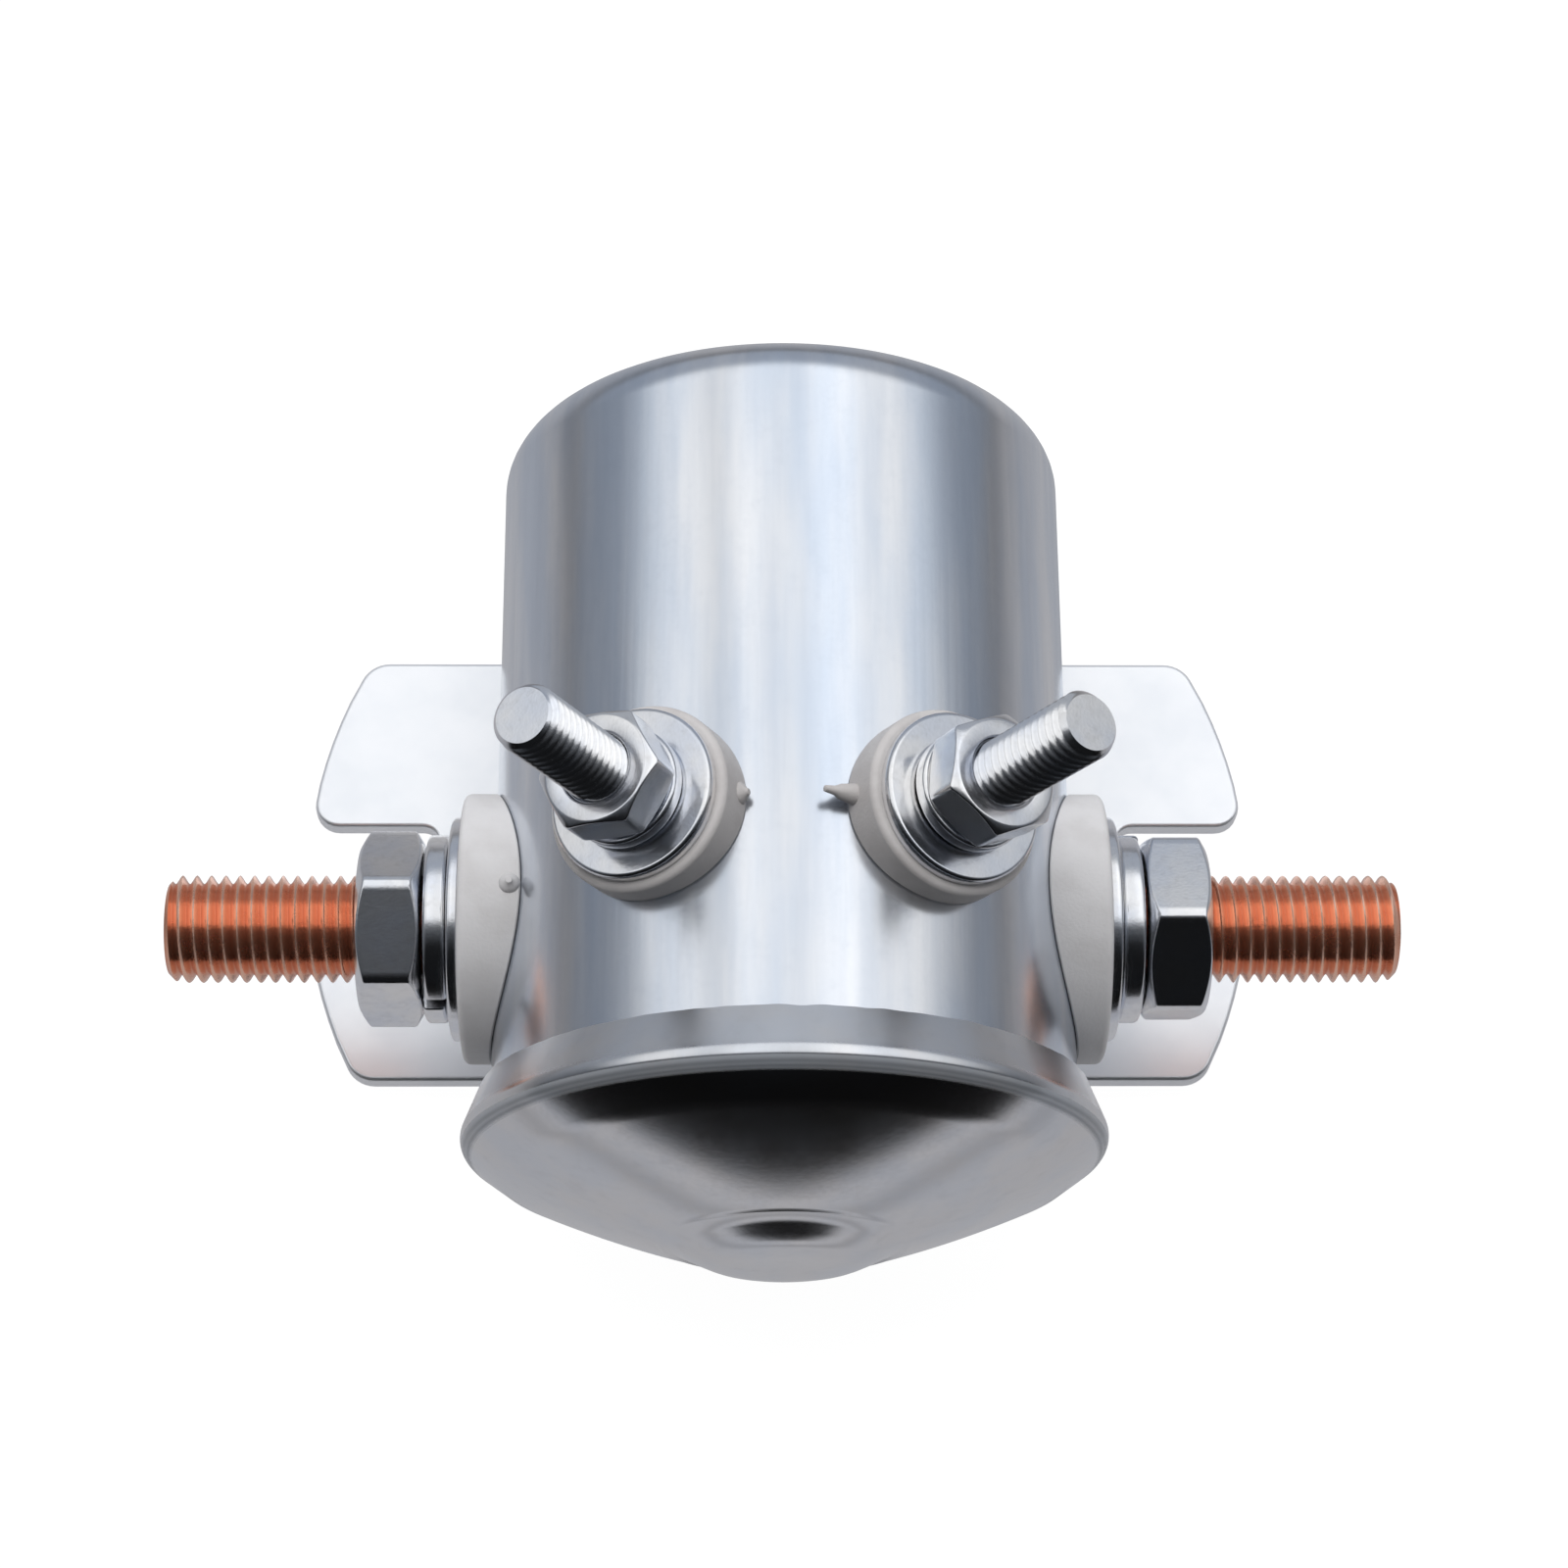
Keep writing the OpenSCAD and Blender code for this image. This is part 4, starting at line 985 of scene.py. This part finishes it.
KEPT = {
    GREY_MOULDING: ["power_bush_left", "power_bush_right", "coil_bush_left", "coil_bush_right",
                    "disc_bush", "disc_washer"],
    BOBBIN_NYLON: ["bobbin"],
    WRAP_PAPER: ["winding_wrap"],
    GASKET_RUBBER: ["cap_gasket"],
    ENAMELLED_WIRE: ["coil_lead_left", "coil_lead_right"],
    PLAIN_STEEL: ["flux_plate", "fixed_core", "plunger", "rod_clip", "spring_seat"],
    TUBE_BRASS: ["guide_tube", "plunger_rod"],
    DISC_COPPER: ["contact_disc"],
}
for material, names in KEPT.items():
    for name in names:
        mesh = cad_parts[name].data
        mesh.materials.clear()
        mesh.materials.append(material)


# ---- Studio ----

FLOOR_HALF, FLOOR_LEVEL = 3000, -0.1
# The paper's own colour, its tone in the metal, and in the picture the share and strength of
# the white over it, which leave the object's shadow
PAPER, FLOOR_TONE, FLOOR_WHITE, FLOOR_GLOW = "E6E6E6", "C4C4C8", 0.87, 1.12
# How the lamps light the floor in front, as the metal shows it: places along y, far to near,
# and the share of the floor's tone there
FLOOR_FAR, FLOOR_NEAR = -100, -40
FLOOR_BANDS = [(-96, 0.015), (-82, 1.0), (-76, 0.95), (-68, 0.62), (-60, 0.85), (-45, 0.8)]
# The distances between which that tone fades, and what is left of it
FLOOR_FADE_FROM, FLOOR_FADE_TO, FLOOR_FADED = 60, 300, 0.45

# The soft box overhead, in degrees: turns about the can's axis, from straight up towards +X,
# and about the studs' line, from straight up towards the can's closed end. Each pair says
# where the light starts and where it is full.
BOX_TURNS = [(-72, -46), (86, 44)]
BOX_LEANS = [(-15, -6), (62, 46)]
BOX_TONE, BOX_STRENGTH = "F7F9FC", 1.0
# Its lamps and gaps, as bands of turn: middle, half width, soft edge, and added strength
BOX_BANDS = [(21, 4, 9, 0.28), (-14, 3, 6, 0.14), (-26, 2, 6, -0.22)]
# The room behind it, and the strength and direction along y at which it is darkest and lightest
ROOM_TONE, ROOM_DARK, ROOM_LIGHT = "D5DCE8", (-0.6, 0.01), (0.9, 0.55)


def floor_paper():
    """White paper: white in the picture with the object's faint shadow, and in the metal a soft
    grey in bands, as a sheet that the lamps above light only in part."""
    material, tree = new_material("white_floor_paper")
    seen = add(tree, "ShaderNodeLightPath")
    paper = add(tree, "ShaderNodeBsdfDiffuse", {"Color": paint(PAPER)})[0]
    white = add(tree, "ShaderNodeEmission", {"Color": paint("FFFFFF"), "Strength": FLOOR_GLOW})[0]
    shown = add(tree, "ShaderNodeMixShader", {0: FLOOR_WHITE, 1: paper, 2: white})[0]
    spot = add(tree, "ShaderNodeTexCoord")["Object"]
    ahead = add(tree, "ShaderNodeSeparateXYZ", {0: spot})[1]
    share = add(tree, "ShaderNodeMapRange", {
        "Value": ahead, "From Min": FLOOR_FAR * MM, "From Max": FLOOR_NEAR * MM})[0]
    lit = add(tree, "ShaderNodeValToRGB", {"Fac": share})[0]
    bands = lit.node.color_ramp
    bands.interpolation = "EASE"
    while len(bands.elements) < len(FLOOR_BANDS):
        bands.elements.new(0.5)
    for stop, (place, level) in zip(bands.elements, FLOOR_BANDS):
        stop.position = (place - FLOOR_FAR) / (FLOOR_NEAR - FLOOR_FAR)
        stop.color = (level, level, level, 1.0)
    away = add(tree, "ShaderNodeVectorMath", {0: spot}, operation="LENGTH")["Value"]
    fading = add(tree, "ShaderNodeMapRange", {
        "Value": away, "From Min": FLOOR_FADE_FROM * MM, "From Max": FLOOR_FADE_TO * MM,
        "To Min": 1.0, "To Max": FLOOR_FADED})[0]
    lit = add(tree, "ShaderNodeMath", {0: lit, 1: fading}, operation="MULTIPLY")[0]
    mirrored = add(tree, "ShaderNodeEmission", {"Color": paint(FLOOR_TONE), "Strength": lit})[0]
    look = add(tree, "ShaderNodeMixShader", {0: seen["Is Glossy Ray"], 1: paper, 2: mirrored})[0]
    look = add(tree, "ShaderNodeMixShader", {0: seen["Is Camera Ray"], 1: look, 2: shown})[0]
    add(tree, "ShaderNodeOutputMaterial", {"Surface": look})
    return material


def studio_floor():
    mesh = bpy.data.meshes.new("floor")
    corners = [Vector((x * FLOOR_HALF, y * FLOOR_HALF, FLOOR_LEVEL)) * MM
               for x, y in ((-1, -1), (1, -1), (1, 1), (-1, 1))]
    mesh.from_pydata(corners, [], [(0, 1, 2, 3)])
    mesh.materials.append(floor_paper())
    placed("floor", mesh)


def studio_sky():
    """A dim room round a large soft box, dark on the camera's side, and white to the camera."""
    world = bpy.context.scene.world or bpy.data.worlds.new("studio")
    bpy.context.scene.world = world
    world.use_nodes = True
    sky = world.node_tree
    sky.nodes.clear()
    toward = add(sky, "ShaderNodeSeparateXYZ", {0: add(sky, "ShaderNodeTexCoord")["Generated"]})
    turn = add(sky, "ShaderNodeMath", {0: toward[0], 1: toward[2]}, operation="ARCTAN2")[0]
    lean = add(sky, "ShaderNodeMath", {0: toward[1], 1: toward[2]}, operation="ARCTAN2")[0]

    # Soft edges as (angle, start, full), and the box inside four of them
    edges = [(turn, *pair) for pair in BOX_TURNS] + [(lean, *pair) for pair in BOX_LEANS]
    for middle, half, soft, _ in BOX_BANDS:
        off = add(sky, "ShaderNodeMath", {0: turn, 1: math.radians(middle)},
                  operation="SUBTRACT")[0]
        off = add(sky, "ShaderNodeMath", {0: off}, operation="ABSOLUTE")[0]
        edges.append((off, half + soft, half))
    shares = [add(sky, "ShaderNodeMapRange", {
        "Value": angle, "From Min": math.radians(start), "From Max": math.radians(full),
    }, interpolation_type="SMOOTHSTEP")[0] for angle, start, full in edges]
    inside, strength = 1.0, BOX_STRENGTH
    for share in shares[:4]:
        inside = add(sky, "ShaderNodeMath", {0: share, 1: inside}, operation="MULTIPLY")[0]
    for share, (_, _, _, extra) in zip(shares[4:], BOX_BANDS):
        strength = add(sky, "ShaderNodeMath", {0: share, 1: extra, 2: strength},
                       operation="MULTIPLY_ADD")[0]

    room = add(sky, "ShaderNodeMapRange", {
        "Value": toward[1], "From Min": ROOM_DARK[0], "From Max": ROOM_LIGHT[0],
        "To Min": ROOM_DARK[1], "To Max": ROOM_LIGHT[1]})[0]
    dim = add(sky, "ShaderNodeBackground", {"Color": paint(ROOM_TONE), "Strength": room})[0]
    box = add(sky, "ShaderNodeBackground", {"Color": paint(BOX_TONE), "Strength": strength})[0]
    lit = add(sky, "ShaderNodeMixShader", {0: inside, 1: dim, 2: box})[0]
    white = add(sky, "ShaderNodeBackground", {"Color": paint("FFFFFF"), "Strength": 1.0})[0]
    seen = add(sky, "ShaderNodeLightPath")["Is Camera Ray"]
    look = add(sky, "ShaderNodeMixShader", {0: seen, 1: lit, 2: white})[0]
    add(sky, "ShaderNodeOutputWorld", {"Surface": look})


studio_floor()
studio_sky()

# A square lamp from above and behind that lights the paper and mouldings; metal doesn't show it
FILL_TOWARD, FILL_AWAY, FILL_W, FILL_POWER = (-0.1, 0.35, 0.95), 700, 600, 3.0
lamp = bpy.data.lights.new("fill_box", "AREA")
lamp.shape = "RECTANGLE"
lamp.size = lamp.size_y = FILL_W * MM
lamp.energy = FILL_POWER
fill = placed("fill_box", lamp)
toward = Vector(FILL_TOWARD).normalized()
fill.rotation_mode = "QUATERNION"
fill.location = (Vector((0, 0, AXIS_H)) + toward * FILL_AWAY) * MM
fill.rotation_quaternion = toward.to_track_quat("Z", "Y")
fill.visible_glossy = False


# ---- Camera, fitted to the photograph ----

SENSOR_W, LENS_LEN = 36.0, 81.17
CAMERA_AT = (-4.115, -99.917, 271.338)
CAMERA_FORWARD = (0.015894, 0.369260, -0.929190)
CAMERA_UP = (-0.000679, 0.929311, 0.369297)

lens = bpy.data.cameras.new("camera")
lens.sensor_width, lens.lens = SENSOR_W, LENS_LEN
lens.clip_start, lens.clip_end = 0.01, 20.0
camera = placed("camera", lens)
forward = Vector(CAMERA_FORWARD).normalized()
right = forward.cross(Vector(CAMERA_UP)).normalized()
facing = Matrix((right, right.cross(forward), -forward)).transposed().to_4x4()
camera.matrix_world = Matrix.Translation(Vector(CAMERA_AT) * MM) @ facing
bpy.context.scene.camera = camera

bpy.context.scene.view_settings.view_transform = "Standard"
